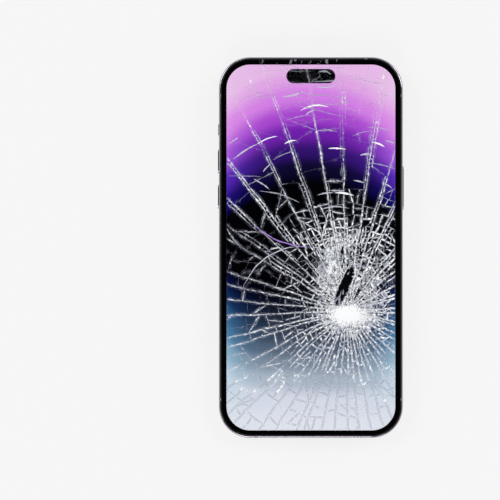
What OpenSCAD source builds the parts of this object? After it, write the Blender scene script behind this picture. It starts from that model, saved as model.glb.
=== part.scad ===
// Slab phone of about 6.7 inches with a shattered cover glass.
// The origin is the centre of the back glass's outer face. +X is to the right as the user
// looks at the screen, +Y points to the earpiece end, and +Z points out of the screen.
// All sizes are in millimetres.

/* [Body] */
// Width over the side band
body_w = 77.6; // [73:0.1:94]
// Height over the side band
body_h = 160.7; // [134:0.1:180]
// Thickness from the back glass's face to the cover glass's face
body_t = 7.85; // [7.5:0.05:9.5]
// Outer corner radius of the side band
corner_r = 13.2; // [11:0.1:14.5]
// Width of the band's lip around each glass
rim_w = 0.9; // [0.7:0.05:1.2]
// Wall of the side band
band_wall = 2.4; // [2.1:0.1:2.9]
// How far the band's lip stands below each glass's face
lip_drop = 0.3; // [0.2:0.05:0.4]
// Rounding of the band's outer edges
band_edge_r = 0.7; // [0.4:0.05:1]
// Thickness of the back glass
back_glass_t = 0.75; // [0.6:0.05:0.9]
// Rounding of both glasses' outer edges
glass_edge_r = 0.35; // [0.2:0.05:0.45]

/* [Display] */
// Thickness of the cover glass
cover_t = 0.65; // [0.5:0.05:0.8]
// Black border between the cover glass's edge and the lit area
border_w = 2.3; // [1.8:0.1:3.5]
// Thickness of the clear adhesive under the cover glass
optical_t = 0.15; // [0.1:0.05:0.25]
// Thickness of the display panel
panel_t = 0.5; // [0.4:0.05:0.7]
// Thickness of the display's metal backing
backing_t = 0.25; // [0.2:0.05:0.4]
// Length of the sensor window in the lit area
pill_w = 20.7; // [17:0.1:24]
// Height of the sensor window
pill_h = 6.1; // [5:0.1:7]
// Distance of the sensor window's centre from the top of the phone
pill_drop = 8.0; // [7:0.1:10]
// Length of the earpiece's mesh
earpiece_l = 11; // [8:0.1:14]
// Depth of the slit for that mesh, from the glass's edge
earpiece_d = 0.55; // [0.4:0.05:0.6]

/* [Shattered glass] */
// Where the glass was struck, across the phone from its centre
impact_x = 15.2; // [-20:0.1:20]
// Where the glass was struck, along the phone from its centre
impact_y = -26.5; // [-40:0.1:40]
// Number of cracks that run out from the blow
ray_count = 48; // [32:4:60]
// How much wider the cracks fan out towards the top than towards the bottom
ray_fan = 0.2; // [0:0.05:0.4]
// Radius of the first ring of cracks
first_ring_r = 5; // [4:0.5:7]
// How much larger each ring of cracks is than the one inside it
ring_growth = 1.5; // [1.4:0.05:1.8]
// Width of the open cracks between the shards
crack_gap = 0.08; // [0.05:0.01:0.15]
// Length of the hole where glass has fallen out
hole_l = 18; // [8:0.5:22]
// Width of that hole
hole_w = 4.2; // [2:0.1:5]
// Seed of the crack pattern
crack_seed = 11; // [1:1:99]

/* [Rear cameras] */
// Width of the raised camera block
block_w = 37.3; // [35:0.1:40]
// Height of the raised camera block
block_h = 39.2; // [37:0.1:42]
// Corner radius of the camera block
block_r = 10.8; // [9:0.1:12]
// How far the camera block stands out of the back
block_rise = 1.9; // [1.5:0.1:2.5]
// Margin from the camera block to the phone's side and top
block_margin = 4.4; // [3.5:0.1:6]
// How far a lens ring stands out of the camera block
ring_rise = 2.25; // [1.5:0.05:2.6]
// Radius of a lens window
window_r = 6.45; // [5.6:0.05:7.7]
// Width of a lens ring outside its window
ring_rim_w = 1.1; // [0.8:0.05:1.2]
// Distance between the two lenses at the phone's side
lens_pitch = 19.4; // [17:0.1:22]
// Distance of those two lenses from the block's centre line
outer_lens_x = 8.8; // [8:0.1:9]
// Distance of the third lens from that line
inner_lens_x = 9.1; // [8.8:0.1:9.5]
// Radius of the flash and of the depth sensor's window
flash_r = 3.3; // [2.5:0.1:3.8]

/* [Buttons] */
// Length of the side button
side_button_l = 18.6; // [15:0.1:22.4]
// Length of each volume button
volume_button_l = 10.1; // [8:0.1:12]
// Height of the buttons across the band
button_h = 2.9; // [2.4:0.1:3.3]
// How far the buttons stand out of the band
button_rise = 0.45; // [0.3:0.05:0.6]
// Travel of the buttons
button_travel = 0.3; // [0.2:0.05:0.4]
// Gap between a button and its opening
button_gap = 0.08; // [0.05:0.01:0.12]
// Length of the ring switch
switch_l = 4.6; // [4:0.1:6]
// Thickness of the ring switch's lever
switch_h = 1.7; // [1.4:0.1:2]
// Travel of the ring switch between its two settings
switch_travel = 1.1; // [0.8:0.1:1.3]

/* [Bottom end] */
// Width of the charging port's mouth
port_w = 9.0; // [8:0.1:9.4]
// Height of the charging port's mouth
port_h = 3.2; // [2.8:0.1:3.5]
// Depth of the charging port
port_depth = 7.2; // [6:0.1:8]
// Number of round sound holes on each side of the port
sound_holes = 6; // [4:1:6]
// Spacing of the sound holes
sound_pitch = 2.05; // [1.8:0.05:2.2]
// Radius of a sound hole
sound_r = 0.7; // [0.5:0.05:0.8]

/* [Hidden] */
$fn = 48;

// Gap between pieces that are set into one another
fit = 0.05;

// Levels through the thickness
half_w = body_w / 2;
half_h = body_h / 2;
adhesive_t = 0.1;
gasket_t = 0.15;
plate_t = 0.5;
cover_z = body_t - cover_t;
optical_z = cover_z - optical_t;
panel_z = optical_z - panel_t;
backing_z = panel_z - backing_t;
ledge_z = panel_z - gasket_t;
plate_z = back_glass_t + adhesive_t;
floor_z = plate_z + plate_t;
ceiling_z = backing_z;
mid_z = body_t / 2;

// Outlines, each as [width, height, corner radius]
body_outline = [body_w, body_h, corner_r];
glass_outline = inset(body_outline, rim_w);
lit_outline = inset(glass_outline, border_w);
inner_outline = inset(body_outline, band_wall);
plate_outline = inset(inner_outline, fit);

// Shattered glass
impact = [impact_x, impact_y];
ring_count = 9;
hub_r = 1.6;
rays_per_splinter = 4;
hole_centre = [impact_x - 1, impact_y + 10.4];
hole_tilt = -23;
hole_points = 18;
ray_shake = rands(-1, 1, ray_count + 1, crack_seed);
ring_shake = rands(-1, 1, (ray_count + 1) * (ring_count + 1) * 2, crack_seed + 1);
hole_shake = rands(-1, 1, hole_points, crack_seed + 2);
rim_crack_w = 0.12;
// Cracks that run on through the border, each as [x, y, angle] measured from the body's corners
rim_cracks = [
    [-half_w + 4.6, -half_h + 4.9, 45],
    [half_w - 4.2, -half_h + 4.7, 118],
    [-1.5, half_h - 2, 82],
    [12.5, half_h - 2, 68]
];

// Rear cameras
block_pos = [half_w - block_margin - block_w / 2, half_h - block_margin - block_h / 2 + 0.3];
block_edge_r = 0.6;
window_t = 0.5;
window_sink = 0.2;
ring_r = window_r + ring_rim_w;
ring_neck_r = window_r + 0.4;
upper_pos = block_pos + [outer_lens_x, lens_pitch / 2];
lower_pos = block_pos + [outer_lens_x, -lens_pitch / 2];
inner_pos = block_pos + [-inner_lens_x, 0];
flash_pos = block_pos + [-9, 13.2];
depth_pos = block_pos + [-9, -13.9];
microphone_pos = block_pos + [-14.5, -9.6];
microphone_r = 0.45;
block_z = -block_rise;
ring_z = block_z - ring_rise;
window_z = ring_z + window_sink;
barrel_z = window_z + window_t + fit;
barrel_r = window_r - 0.25;
module_w = 13.6;
module_top_z = ceiling_z - 0.3;
front_glass_t = 0.6;

// Buttons, which are placed from the top of the phone
side_button_y = half_h - 55.25;
volume_up_y = half_h - 43.95;
volume_down_y = half_h - 58.85;
ring_switch_y = half_h - 30.55;
flange_lip = 0.5;
flange_t = 0.5;
dome_t = 1.2;
dome_gap = 0.1;
dome_face_x = half_w - band_wall - fit - flange_t - button_travel - dome_gap;
switch_rise = 0.3;
keeper_l = switch_l + 1;
keeper_h = switch_h + 0.6;
keeper_t = 0.5;
switch_block_t = 1.8;

// Antenna breaks: distances from the ends of the phone and from its centre line
break_w = 1.2;
side_break_drop = 16.2;
end_break_x = 23.2;

// Bottom end
screw_x = 8.4;
screw_head_r = 0.85;
screw_shank_r = 0.5;
screw_head_t = 0.6;
screw_l = 3.6;
sound_start_x = 11.3;
mesh_t = 0.3;
port_wall = 0.4;

// Inner pieces
coil_r = 21.5;
coil_hole_r = 10.5;
magnet_in_r = 23;
magnet_out_r = 27.4;
magnet_count = 18;
battery_z = floor_z + 0.2;
battery_t = ceiling_z - 0.4 - battery_z;
cable_t = 0.15;
cable_w = 1.2;
battery_w = 2 * (dome_face_x - dome_t - cable_w - 0.55);
battery_low = [-battery_w / 2, -half_h + 28.4];
battery_top_y = block_pos[1] - block_h / 2 - 2.6;
battery_split_y = battery_top_y - 16.4;
block_left_x = block_pos[0] - block_w / 2;
board_low = [-battery_w / 2 - 0.6, battery_split_y + 4];
board_high = [block_left_x - 1.7, half_h - 16.35];
board_z = floor_z + 0.25;
board_t = 0.8;
shield_low = [board_low[0] + 1, board_low[1] + 4.6, board_z + board_t];
shield_high = [board_high[0] - 0.6, board_high[1] - 9, board_z + board_t + 1.5];
board_screw_inset = 2.5;
board_screw_at = [
    board_low + [board_screw_inset, board_screw_inset],
    [board_high[0] - board_screw_inset, board_low[1] + board_screw_inset],
    [board_low[0] + board_screw_inset, board_high[1] - board_screw_inset]
];
end_row_y = -half_h + band_wall + 1.2;
sensor_y = half_h - pill_drop;
front_camera_x = pill_w / 2 - 4.15;
infrared_x = -pill_w / 2 + 2.75;
earpiece_top_z = floor_z + 2.1;

// ---------------------------------------------------------------- Shared shapes

function inset(o, d) = [o[0] - 2 * d, o[1] - 2 * d, o[2] - d];

// A rectangle with round corners, centred
module outline(o) {
    square([o[0] - 2 * o[2], o[1]], center = true);
    square([o[0], o[1] - 2 * o[2]], center = true);
    for (sx = [-1, 1], sy = [-1, 1])
        translate([sx * (o[0] / 2 - o[2]), sy * (o[1] / 2 - o[2])]) circle(o[2]);
}

// A plate of that outline between two levels
module slab(o, z0, z1) {
    translate([0, 0, z0]) linear_extrude(z1 - z0) outline(o);
}

// A flat ring between two outlines
module ring_slab(outer, inner, z0, z1) {
    difference() {
        slab(outer, z0, z1);
        slab(inner, z0 - 1, z1 + 1);
    }
}

// Carries a section round an outline. The section's x is the distance from the corner's centre.
module carried_round(o) {
    for (turn = [0, 180]) rotate([0, 0, turn]) {
        translate([o[0] / 2 - o[2], o[1] / 2 - o[2]]) rotate_extrude(angle = 90) children();
        translate([-o[0] / 2 + o[2], o[1] / 2 - o[2]])
            rotate([0, 0, 90]) rotate_extrude(angle = 90) children();
        translate([o[0] / 2 - o[2], o[1] / 2 - o[2]])
            rotate([90, 0, 0]) linear_extrude(o[1] - 2 * o[2]) children();
        translate([-o[0] / 2 + o[2], o[1] / 2 - o[2]])
            rotate([90, 0, 90]) linear_extrude(o[0] - 2 * o[2]) children();
    }
}

// A section of width x0 to x1 whose outer corners are round by r_low below and r_high above
module edge_section(x0, x1, z0, z1, r_low, r_high) {
    r = max(r_low, r_high);
    intersection() {
        translate([x0, z0]) square([x1 - x0, z1 - z0]);
        union() {
            translate([x1 - r - 3, z0]) square([3, z1 - z0]);
            translate([x1 - r - 0.01, z0 + r_low]) square([r + 0.01, z1 - z0 - r_low - r_high]);
            if (r_low > 0) translate([x1 - r_low, z0 + r_low]) circle(r_low);
            if (r_high > 0) translate([x1 - r_high, z1 - r_high]) circle(r_high);
        }
    }
}

// A bar with round ends, l long on Y and h high on Z, that runs along X from x0 to x1
module pill_bar(l, h, x0, x1) {
    translate([x0, 0, 0]) rotate([90, 0, 90]) linear_extrude(x1 - x0) {
        square([l - h, h], center = true);
        for (s = [-1, 1]) translate([s * (l - h) / 2, 0]) circle(h / 2);
    }
}

// A disc or bore between two levels
module disc(p, r, z0, z1) {
    translate([p[0], p[1], z0]) cylinder(r = r, h = z1 - z0);
}

// A block between two corners
module block(low, high) {
    translate(low) cube(high - low);
}

// ---------------------------------------------------------------- Side band

module button_openings() {
    opening_h = button_h + 2 * button_gap;
    translate([0, side_button_y, mid_z])
        pill_bar(side_button_l + 2 * button_gap, opening_h, half_w - band_wall - 1, half_w + 1);
    for (y = [volume_up_y, volume_down_y]) translate([0, y, mid_z])
        pill_bar(volume_button_l + 2 * button_gap, opening_h, -half_w - 1, -half_w + band_wall + 1);
    switch_window = [band_wall + 2, switch_l + 2 * button_gap, switch_h + switch_travel + 2 * button_gap];
    translate([-half_w + band_wall / 2, ring_switch_y, mid_z]) cube(switch_window, center = true);
}

// Everything that opens the bottom end of the band, cut as bars along -Y
module bottom_openings() {
    translate([0, -half_h + band_wall + 1, mid_z]) rotate([0, 0, -90])
        pill_bar(port_w, port_h, 0, band_wall + 2);
    for (s = [-1, 1]) {
        translate([s * screw_x, -half_h - 1, mid_z]) rotate([-90, 0, 0]) {
            cylinder(r = screw_head_r + fit, h = 1 + screw_head_t);
            cylinder(r = screw_shank_r + fit, h = band_wall + 2);
        }
        for (i = [0 : sound_holes - 1])
            translate([s * (sound_start_x + i * sound_pitch), -half_h - 1, mid_z])
                rotate([-90, 0, 0]) cylinder(r = sound_r, h = band_wall + 2);
    }
}

module break_slabs() {
    reach = band_wall + 1;
    for (sx = [-1, 1], sy = [-1, 1])
        translate([sx * (half_w - reach / 2 + 0.5), sy * (half_h - side_break_drop), mid_z])
            cube([reach + 1, break_w, body_t], center = true);
    for (s = [-1, 1])
        translate([s * end_break_x, s * (half_h - reach / 2 + 0.5), mid_z])
            cube([break_w, reach + 1, body_t], center = true);
}

// The whole ring before the plastic breaks divide it
module band_ring() {
    lip_x = corner_r - rim_w + fit;
    difference() {
        carried_round(body_outline) {
            edge_section(lip_x, corner_r, lip_drop, body_t - lip_drop, band_edge_r, band_edge_r);
            translate([corner_r - band_wall, plate_z])
                square([band_wall - rim_w + fit + 0.01, ledge_z - plate_z]);
        }
        button_openings();
        bottom_openings();
    }
}

module side_band() {
    color([0.36, 0.33, 0.38]) difference() {
        band_ring();
        break_slabs();
    }
}

module antenna_breaks() {
    color([0.27, 0.24, 0.29]) intersection() {
        band_ring();
        break_slabs();
    }
}

// ---------------------------------------------------------------- Back

// Openings in the back glass for the cameras, the flash, the depth sensor and the microphone
module camera_openings(z0, z1, extra) {
    for (p = [upper_pos, lower_pos, inner_pos]) disc(p, ring_neck_r + extra, z0, z1);
    for (p = [flash_pos, depth_pos]) disc(p, flash_r + extra, z0, z1);
    disc(microphone_pos, microphone_r + extra, z0, z1);
}

module back_glass() {
    o = glass_outline;
    b = [block_w, block_h, block_r];
    color([0.38, 0.34, 0.4]) difference() {
        union() {
            carried_round(o)
                edge_section(o[2] - 2, o[2], 0, back_glass_t, glass_edge_r, 0);
            slab(inset(o, 1.9), 0, back_glass_t);
            translate([block_pos[0], block_pos[1], 0]) {
                slab(inset(b, block_edge_r), block_z, 0.1);
                carried_round(b) translate([0, block_z]) {
                    translate([b[2] - 2, block_edge_r])
                        square([2, block_rise - block_edge_r + 0.1]);
                    translate([b[2] - 2, 0]) square([2 - block_edge_r, block_rise]);
                    translate([b[2] - block_edge_r, block_edge_r]) circle(block_edge_r);
                }
            }
        }
        camera_openings(block_z - 1, back_glass_t + 1, fit);
    }
}

module back_adhesive() {
    color([0.12, 0.12, 0.13]) difference() {
        slab(inset(glass_outline, 0.5), back_glass_t, plate_z);
        camera_openings(back_glass_t - 1, plate_z + 1, 0.3);
        disc([0, 0], magnet_out_r + 0.6, back_glass_t - 1, plate_z + 1);
    }
}

module chassis_plate() {
    color([0.62, 0.63, 0.66]) difference() {
        slab(plate_outline, plate_z, floor_z);
        camera_openings(plate_z - 1, floor_z + 1, 0.3);
        disc([0, 0], magnet_out_r + 0.6, plate_z - 1, floor_z + 1);
    }
}

// ---------------------------------------------------------------- Shattered cover glass

function ray_turn(i) = (i % ray_count + 0.3 * ray_shake[i % ray_count]) * 360 / ray_count;
function ray_angle(i) = let(a = ray_turn(i)) a + 360 * floor(i / ray_count) - ray_fan * 180 / PI * cos(a);
function shake(i, k, side) = ring_shake[((i % ray_count) * (ring_count + 1) + k) * 2 + side];
// Radius at which ring k crosses the given side of sector i. The first ring is a true circle.
function ring_r_at(i, k, side) =
    first_ring_r * pow(ring_growth, k) * (k == 0 ? 1 : 1 + 0.15 * shake(i, k, side));
function polar(r, a) = impact + r * [cos(a), sin(a)];
// A point on ray i at radius r, moved off the crack by half its width: side 1 is the later side
function beside_ray(i, r, side) = polar(r, ray_angle(i) + side * asin(crack_gap / 2 / r));
// The shard of sector i between rings k and k + 1
function shard(i, k) = let(g = crack_gap / 2) [
    beside_ray(i, ring_r_at(i, k, 0) + g, 1),
    beside_ray(i, ring_r_at(i, k + 1, 0) - g, 1),
    beside_ray(i + 1, ring_r_at(i, k + 1, 1) - g, -1),
    beside_ray(i + 1, ring_r_at(i, k, 1) + g, -1)
];
// A splinter beside the hub, which spans several rays
function splinter(i) = let(g = crack_gap / 2, last = i + rays_per_splinter) concat(
    [beside_ray(i, hub_r + g, 1), beside_ray(i, first_ring_r - g, 1)],
    [for (j = [i + 1 : last - 1]) polar(first_ring_r - g, ray_angle(j))],
    [beside_ray(last, first_ring_r - g, -1), beside_ray(last, hub_r + g, -1)]
);
// A corner's reach past the straight part of the lit area's border decides what is clipped
function is_inside(p, o, d) =
    abs(p[0]) < o[0] / 2 - d && abs(p[1]) < o[1] / 2 - d
    && (abs(p[0]) < o[0] / 2 - o[2] || abs(p[1]) < o[1] / 2 - o[2]
        || norm([abs(p[0]) - o[0] / 2 + o[2], abs(p[1]) - o[1] / 2 + o[2]]) < o[2] - d);
function count_inside(points, o, d) = len([for (p = points) if (is_inside(p, o, d)) p]);

// A blunt-ended hole with a broken outline
module missing_glass(grow) {
    translate(hole_centre) rotate(hole_tilt) polygon([
        for (n = [0 : hole_points - 1])
            let(a = n * 360 / hole_points, s = 1 + 0.12 * hole_shake[n], w = hole_w / 2 + grow)
            [w * s * sign(cos(a)) * pow(abs(cos(a)), 0.6), (hole_l / 2 + grow) * s * sin(a)]
    ]);
}

module shards() {
    pane = inset(lit_outline, crack_gap);
    for (i = [0 : ray_count - 1], k = [0 : ring_count - 1]) {
        points = shard(i, k);
        inside = count_inside(points, pane, 0);
        if (inside == 4) translate([0, 0, cover_z]) linear_extrude(cover_t) polygon(points);
        else if (inside > 0) intersection() {
            translate([0, 0, cover_z]) linear_extrude(cover_t) polygon(points);
            slab(pane, cover_z - 1, body_t + 1);
        }
    }
    for (i = [0 : rays_per_splinter : ray_count - 1])
        translate([0, 0, cover_z]) linear_extrude(cover_t) polygon(splinter(i));
    translate([0, 0, cover_z]) linear_extrude(cover_t)
        polygon([for (i = [0 : rays_per_splinter : ray_count - 1])
            polar(hub_r - crack_gap / 2, ray_angle(i))]);
}

// The border is whole apart from four cracks, and has a notch at the top for the earpiece
module glass_border() {
    o = glass_outline;
    difference() {
        carried_round(o)
            edge_section(o[2] - border_w, o[2], cover_z, body_t, 0, glass_edge_r);
        for (c = rim_cracks) translate([c[0], c[1], body_t]) rotate([0, 0, c[2]])
            cube([12, rim_crack_w, 4], center = true);
        earpiece_slot(earpiece_l + 2 * fit, earpiece_d + fit);
    }
}

module cover_glass() {
    color([0.82, 0.86, 0.92, 0.5]) {
        glass_border();
        difference() {
            shards();
            translate([0, 0, cover_z - 1]) linear_extrude(cover_t + 2) missing_glass(0);
        }
    }
}

// ---------------------------------------------------------------- Display

// The slit for the earpiece in the glass's top edge
module earpiece_slot(l, d) {
    translate([-l / 2, half_h - rim_w - d, panel_z - 1]) cube([l, d + 1, body_t]);
}

// The clear adhesive, which also runs under the border
module optical_adhesive() {
    color([0.9, 0.9, 0.95, 0.4]) difference() {
        slab(inset(glass_outline, 0.6), optical_z, cover_z);
        translate([0, 0, optical_z - 1]) linear_extrude(optical_t + 2) missing_glass(-0.4);
    }
}

// The sensor window is a real opening in the panel's lit layer, and the blow has dented the panel
module display_panel() {
    dent_t = 0.2;
    color([0.33, 0.2, 0.6]) difference() {
        slab(lit_outline, panel_z, optical_z);
        translate([0, sensor_y, panel_z - 1]) linear_extrude(panel_t + 2)
            outline([pill_w, pill_h, pill_h / 2 - 0.01]);
        translate([0, 0, optical_z - dent_t]) linear_extrude(dent_t + 1) missing_glass(-0.4);
    }
}

// The black frame behind the border, with two lugs for the bottom screws
module display_frame() {
    lug_w = 3.4;
    lug_y = -half_h + band_wall + fit;
    neck_y = -half_h + rim_w + border_w - fit;
    color([0.03, 0.03, 0.035]) difference() {
        union() {
            ring_slab(inset(glass_outline, 0.15), inset(lit_outline, -fit), panel_z, optical_z);
            for (x = [-screw_x, screw_x]) {
                block([x - lug_w / 2, lug_y, mid_z - 1.4], [x + lug_w / 2, lug_y + 1.3, panel_z]);
                block([x - lug_w / 2, lug_y, panel_z - 0.1], [x + lug_w / 2, neck_y, panel_z + 0.1]);
            }
        }
        for (s = [-1, 1]) translate([s * screw_x, -half_h, mid_z]) rotate([-90, 0, 0])
            cylinder(r = screw_shank_r + 0.02, h = 8);
        earpiece_slot(earpiece_l - 2, earpiece_d);
    }
}

module display_backing() {
    color([0.45, 0.46, 0.48]) difference() {
        slab(inset(lit_outline, 1.2), backing_z, panel_z);
        translate([0, sensor_y, backing_z - 1]) linear_extrude(backing_t + 2)
            outline([pill_w, pill_h, pill_h / 2 - 0.01]);
    }
}

module display_gasket() {
    color([0.08, 0.08, 0.08])
        ring_slab(inset(body_outline, rim_w + 0.2), inset(inner_outline, -0.1), ledge_z, panel_z);
}

// The flat cable that goes down from the display's backing to the board
module display_cable() {
    z0 = board_z + board_t;
    x0 = board_low[0] + 5;
    y0 = battery_split_y + 1;
    color([0.75, 0.45, 0.15]) {
        block([x0, y0, z0], [x0 + 6, board_low[1] + 2, z0 + cable_t]);
        block([x0, y0, z0], [x0 + 6, y0 + cable_t, backing_z]);
    }
}

module earpiece_mesh() {
    y1 = half_h - rim_w - 0.15;
    color([0.1, 0.1, 0.11])
        block([-earpiece_l / 2, y1 - earpiece_d + 0.15, optical_z], [earpiece_l / 2, y1, body_t - 0.15]);
}

module earpiece_speaker() {
    color([0.16, 0.16, 0.17]) {
        block([-13, half_h - 13.5, floor_z], [1.5, half_h - band_wall - 0.3, earpiece_top_z]);
        block([-5.5, half_h - 4.3, floor_z], [1.5, half_h - band_wall - 0.3, backing_z - 0.2]);
    }
}

// The camera in the sensor window, whose housing bears on the earpiece speaker
module front_camera() {
    color([0.07, 0.07, 0.08]) {
        block([-0.5, sensor_y - 2.9, earpiece_top_z],
            [front_camera_x + 2.9, sensor_y + 2.5, backing_z - 0.1]);
        disc([front_camera_x, sensor_y], 2.2, backing_z - 0.2, optical_z - 0.05);
    }
}

module infrared_camera() {
    color([0.09, 0.07, 0.08]) {
        block([infrared_x - 2.7, sensor_y - 2.9, earpiece_top_z],
            [infrared_x + 2.7, sensor_y + 2.5, backing_z - 0.1]);
        disc([infrared_x, sensor_y], 1.9, backing_z - 0.2, optical_z - 0.05);
    }
}

// ---------------------------------------------------------------- Buttons

// A button with its retaining flange, on the side that s points to
module push_button(l, y, s) {
    flange_x = half_w - band_wall - fit;
    color([0.4, 0.37, 0.42]) translate([0, y, mid_z]) mirror([s < 0 ? 1 : 0, 0, 0]) {
        pill_bar(l, button_h, flange_x - 0.1, half_w + button_rise - 0.15);
        pill_bar(l - 0.3, button_h - 0.3, half_w, half_w + button_rise);
        pill_bar(l + 2 * flange_lip, button_h + 2 * flange_lip, flange_x - flange_t, flange_x);
    }
}

// A dome switch on its upright bracket, one button's travel behind the flange
module key_dome(l, y, s) {
    color([0.7, 0.68, 0.6]) translate([0, y, mid_z]) mirror([s < 0 ? 1 : 0, 0, 0]) {
        block([dome_face_x - dome_t, -l / 2, floor_z - mid_z], [dome_face_x - 0.5, l / 2, 1.6]);
        translate([dome_face_x - 0.51, 0, 0]) rotate([0, 90, 0]) cylinder(r = 1.3, h = 0.51);
    }
}

// The lever and the keeper plate behind the wall, in the setting towards the screen
module ring_switch() {
    color([0.4, 0.37, 0.42]) translate([-half_w, ring_switch_y, mid_z + switch_travel / 2]) {
        block([-switch_rise, -switch_l / 2, -switch_h / 2],
            [band_wall + fit + 0.1, switch_l / 2, switch_h / 2]);
        block([band_wall + fit, -keeper_l / 2, -keeper_h / 2],
            [band_wall + fit + keeper_t, keeper_l / 2, keeper_h / 2]);
    }
}

// The block that the keeper slides in, with a pocket as long as the travel
module ring_switch_block() {
    pocket_l = keeper_l + 0.2;
    pocket_h = keeper_h + switch_travel + 0.2;
    color([0.15, 0.15, 0.16]) translate([-half_w + band_wall, ring_switch_y, mid_z]) difference() {
        block([0, -pocket_l / 2 - 1, floor_z - mid_z],
            [switch_block_t, pocket_l / 2 + 1, ceiling_z - 0.1 - mid_z]);
        block([-1, -pocket_l / 2, -pocket_h / 2], [fit + keeper_t + 0.1, pocket_l / 2, pocket_h / 2]);
    }
}

// ---------------------------------------------------------------- Bottom end

module charging_port_shell() {
    y0 = -half_h + band_wall;
    wall = 2 * port_wall;
    color([0.55, 0.56, 0.58]) translate([0, y0, mid_z]) rotate([0, 0, 90]) difference() {
        pill_bar(port_w + wall, port_h + wall, 0, port_depth + port_wall);
        pill_bar(port_w, port_h, -1, port_depth);
    }
}

module charging_port_tongue() {
    y1 = -half_h + band_wall + port_depth;
    color([0.05, 0.05, 0.05])
        block([-port_w / 2 + 1.2, -half_h + band_wall - 0.4, mid_z - 0.35],
            [port_w / 2 - 1.2, y1, mid_z + 0.35]);
}

module bottom_screws() {
    color([0.5, 0.47, 0.52]) for (s = [-1, 1])
        translate([s * screw_x, -half_h + 0.1, mid_z]) rotate([-90, 0, 0]) difference() {
            union() {
                cylinder(r = screw_head_r, h = screw_head_t - 0.1);
                cylinder(r = screw_shank_r, h = screw_l);
            }
            translate([0, 0, -0.1]) linear_extrude(0.45) {
                circle(0.3);
                for (n = [0 : 4]) rotate(n * 72) translate([0.3, 0]) circle(0.15);
            }
        }
}

module sound_hole_mesh() {
    l = (sound_holes - 1) * sound_pitch + 2 * sound_r + 0.6;
    y0 = -half_h + band_wall;
    color([0.07, 0.07, 0.07]) for (s = [-1, 1])
        translate([s * (sound_start_x + (sound_holes - 1) * sound_pitch / 2), y0, mid_z])
            block([-l / 2, 0, -1.1], [l / 2, mesh_t, 1.1]);
}

// The loudspeaker's box, which follows the corner of the band
module loudspeaker() {
    color([0.13, 0.13, 0.14]) intersection() {
        block([screw_x + 2.2, end_row_y, floor_z], [half_w, end_row_y + 20, ceiling_z - 0.4]);
        slab(inset(inner_outline, 0.5), floor_z, ceiling_z);
    }
}

module haptic_motor() {
    color([0.6, 0.6, 0.62]) block([-battery_w / 2, end_row_y + 7, floor_z],
        [-port_w / 2 - 3.5, end_row_y + 20, ceiling_z - 0.6]);
}

module bottom_microphone() {
    y0 = -half_h + band_wall + mesh_t;
    color([0.75, 0.7, 0.5])
        block([-sound_start_x - 8.5, y0, floor_z], [-sound_start_x - 0.5, y0 + 3, mid_z + 1.5]);
}

// The flat cable from the port, beside the battery and under the edge of the board
module port_cable() {
    run_x = -battery_w / 2 - cable_w - 0.2;
    port_y = -half_h + band_wall + port_depth - 1;
    board_end_y = board_low[1] + 4;
    color([0.75, 0.45, 0.15]) {
        block([run_x, port_y - cable_w, floor_z], [4, port_y, floor_z + cable_t]);
        block([run_x, port_y - cable_w, floor_z], [run_x + cable_w, board_end_y, floor_z + cable_t]);
        block([-4, port_y - cable_w, floor_z], [4, port_y, mid_z - port_h / 2 - port_wall]);
        block([board_low[0], board_low[1], floor_z], [run_x + cable_w, board_end_y, board_z]);
    }
}

// ---------------------------------------------------------------- Power

module battery() {
    color([0.1, 0.1, 0.11]) translate([0, 0, battery_z]) {
        block([battery_low[0], battery_low[1], 0], [-battery_low[0], battery_split_y, battery_t]);
        block([block_left_x + 0.5, battery_split_y - 1, 0], [-battery_low[0], battery_top_y, battery_t]);
    }
}

module battery_strips() {
    color([0.85, 0.85, 0.85]) for (x = [-18, 18])
        block([x - 4, battery_low[1] + 2, floor_z], [x + 4, battery_low[1] + 20, battery_z]);
}

module battery_cable() {
    z0 = board_z + board_t;
    color([0.75, 0.45, 0.15])
        block([board_high[0] - 12.4, battery_split_y, z0],
            [board_high[0] - 5.4, board_low[1] + 2, z0 + cable_t]);
}

module charging_coil() {
    color([0.72, 0.42, 0.2]) difference() {
        disc([0, 0], coil_r, back_glass_t, floor_z - 0.1);
        disc([0, 0], coil_hole_r, 0, floor_z);
    }
}

// A ring of separate magnets around the coil
module magnet_ring() {
    color([0.66, 0.67, 0.7]) for (n = [0 : magnet_count - 1])
        rotate([0, 0, n * 360 / magnet_count + 1]) translate([0, 0, back_glass_t])
            rotate_extrude(angle = 360 / magnet_count - 2) translate([magnet_in_r, 0])
                square([magnet_out_r - magnet_in_r, floor_z - 0.1 - back_glass_t]);
}

// ---------------------------------------------------------------- Board

module main_board() {
    color([0.08, 0.12, 0.2]) difference() {
        block([board_low[0], board_low[1], board_z], [board_high[0], board_high[1], board_z + board_t]);
        for (p = board_screw_at) disc(p, 0.75, board_z - 1, board_z + board_t + 1);
    }
}

module board_chips() {
    x0 = shield_low[0] + 1;
    y0 = shield_low[1] + 1.4;
    x1 = shield_high[0] - 1;
    y1 = shield_high[1] - 2;
    z0 = board_z + board_t;
    color([0.06, 0.06, 0.06]) {
        block([x0, y1 - 13, z0], [x0 + 13, y1, z0 + 1]);
        block([x1 - 5.5, y1 - 11, z0], [x1, y1 - 1, z0 + 0.8]);
        block([x0, y0, z0], [x0 + 8, y0 + 8, z0 + 0.8]);
        block([x1 - 6, y0, z0], [x1, y0 + 7, z0 + 0.9]);
    }
}

// A pressed lid over the chips
module board_shield() {
    wall = [0.15, 0.15, 0.15];
    color([0.7, 0.7, 0.72]) difference() {
        block(shield_low, shield_high);
        block(shield_low + wall - [0, 0, 1], shield_high - wall);
    }
}

module board_screws() {
    color([0.75, 0.75, 0.76]) for (p = board_screw_at) {
        disc(p, 0.7, floor_z, board_z + board_t);
        disc(p, 1.2, board_z + board_t, board_z + board_t + 0.5);
    }
}

// ---------------------------------------------------------------- Rear cameras

module at(p) {
    translate([p[0], p[1], 0]) children();
}

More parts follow.
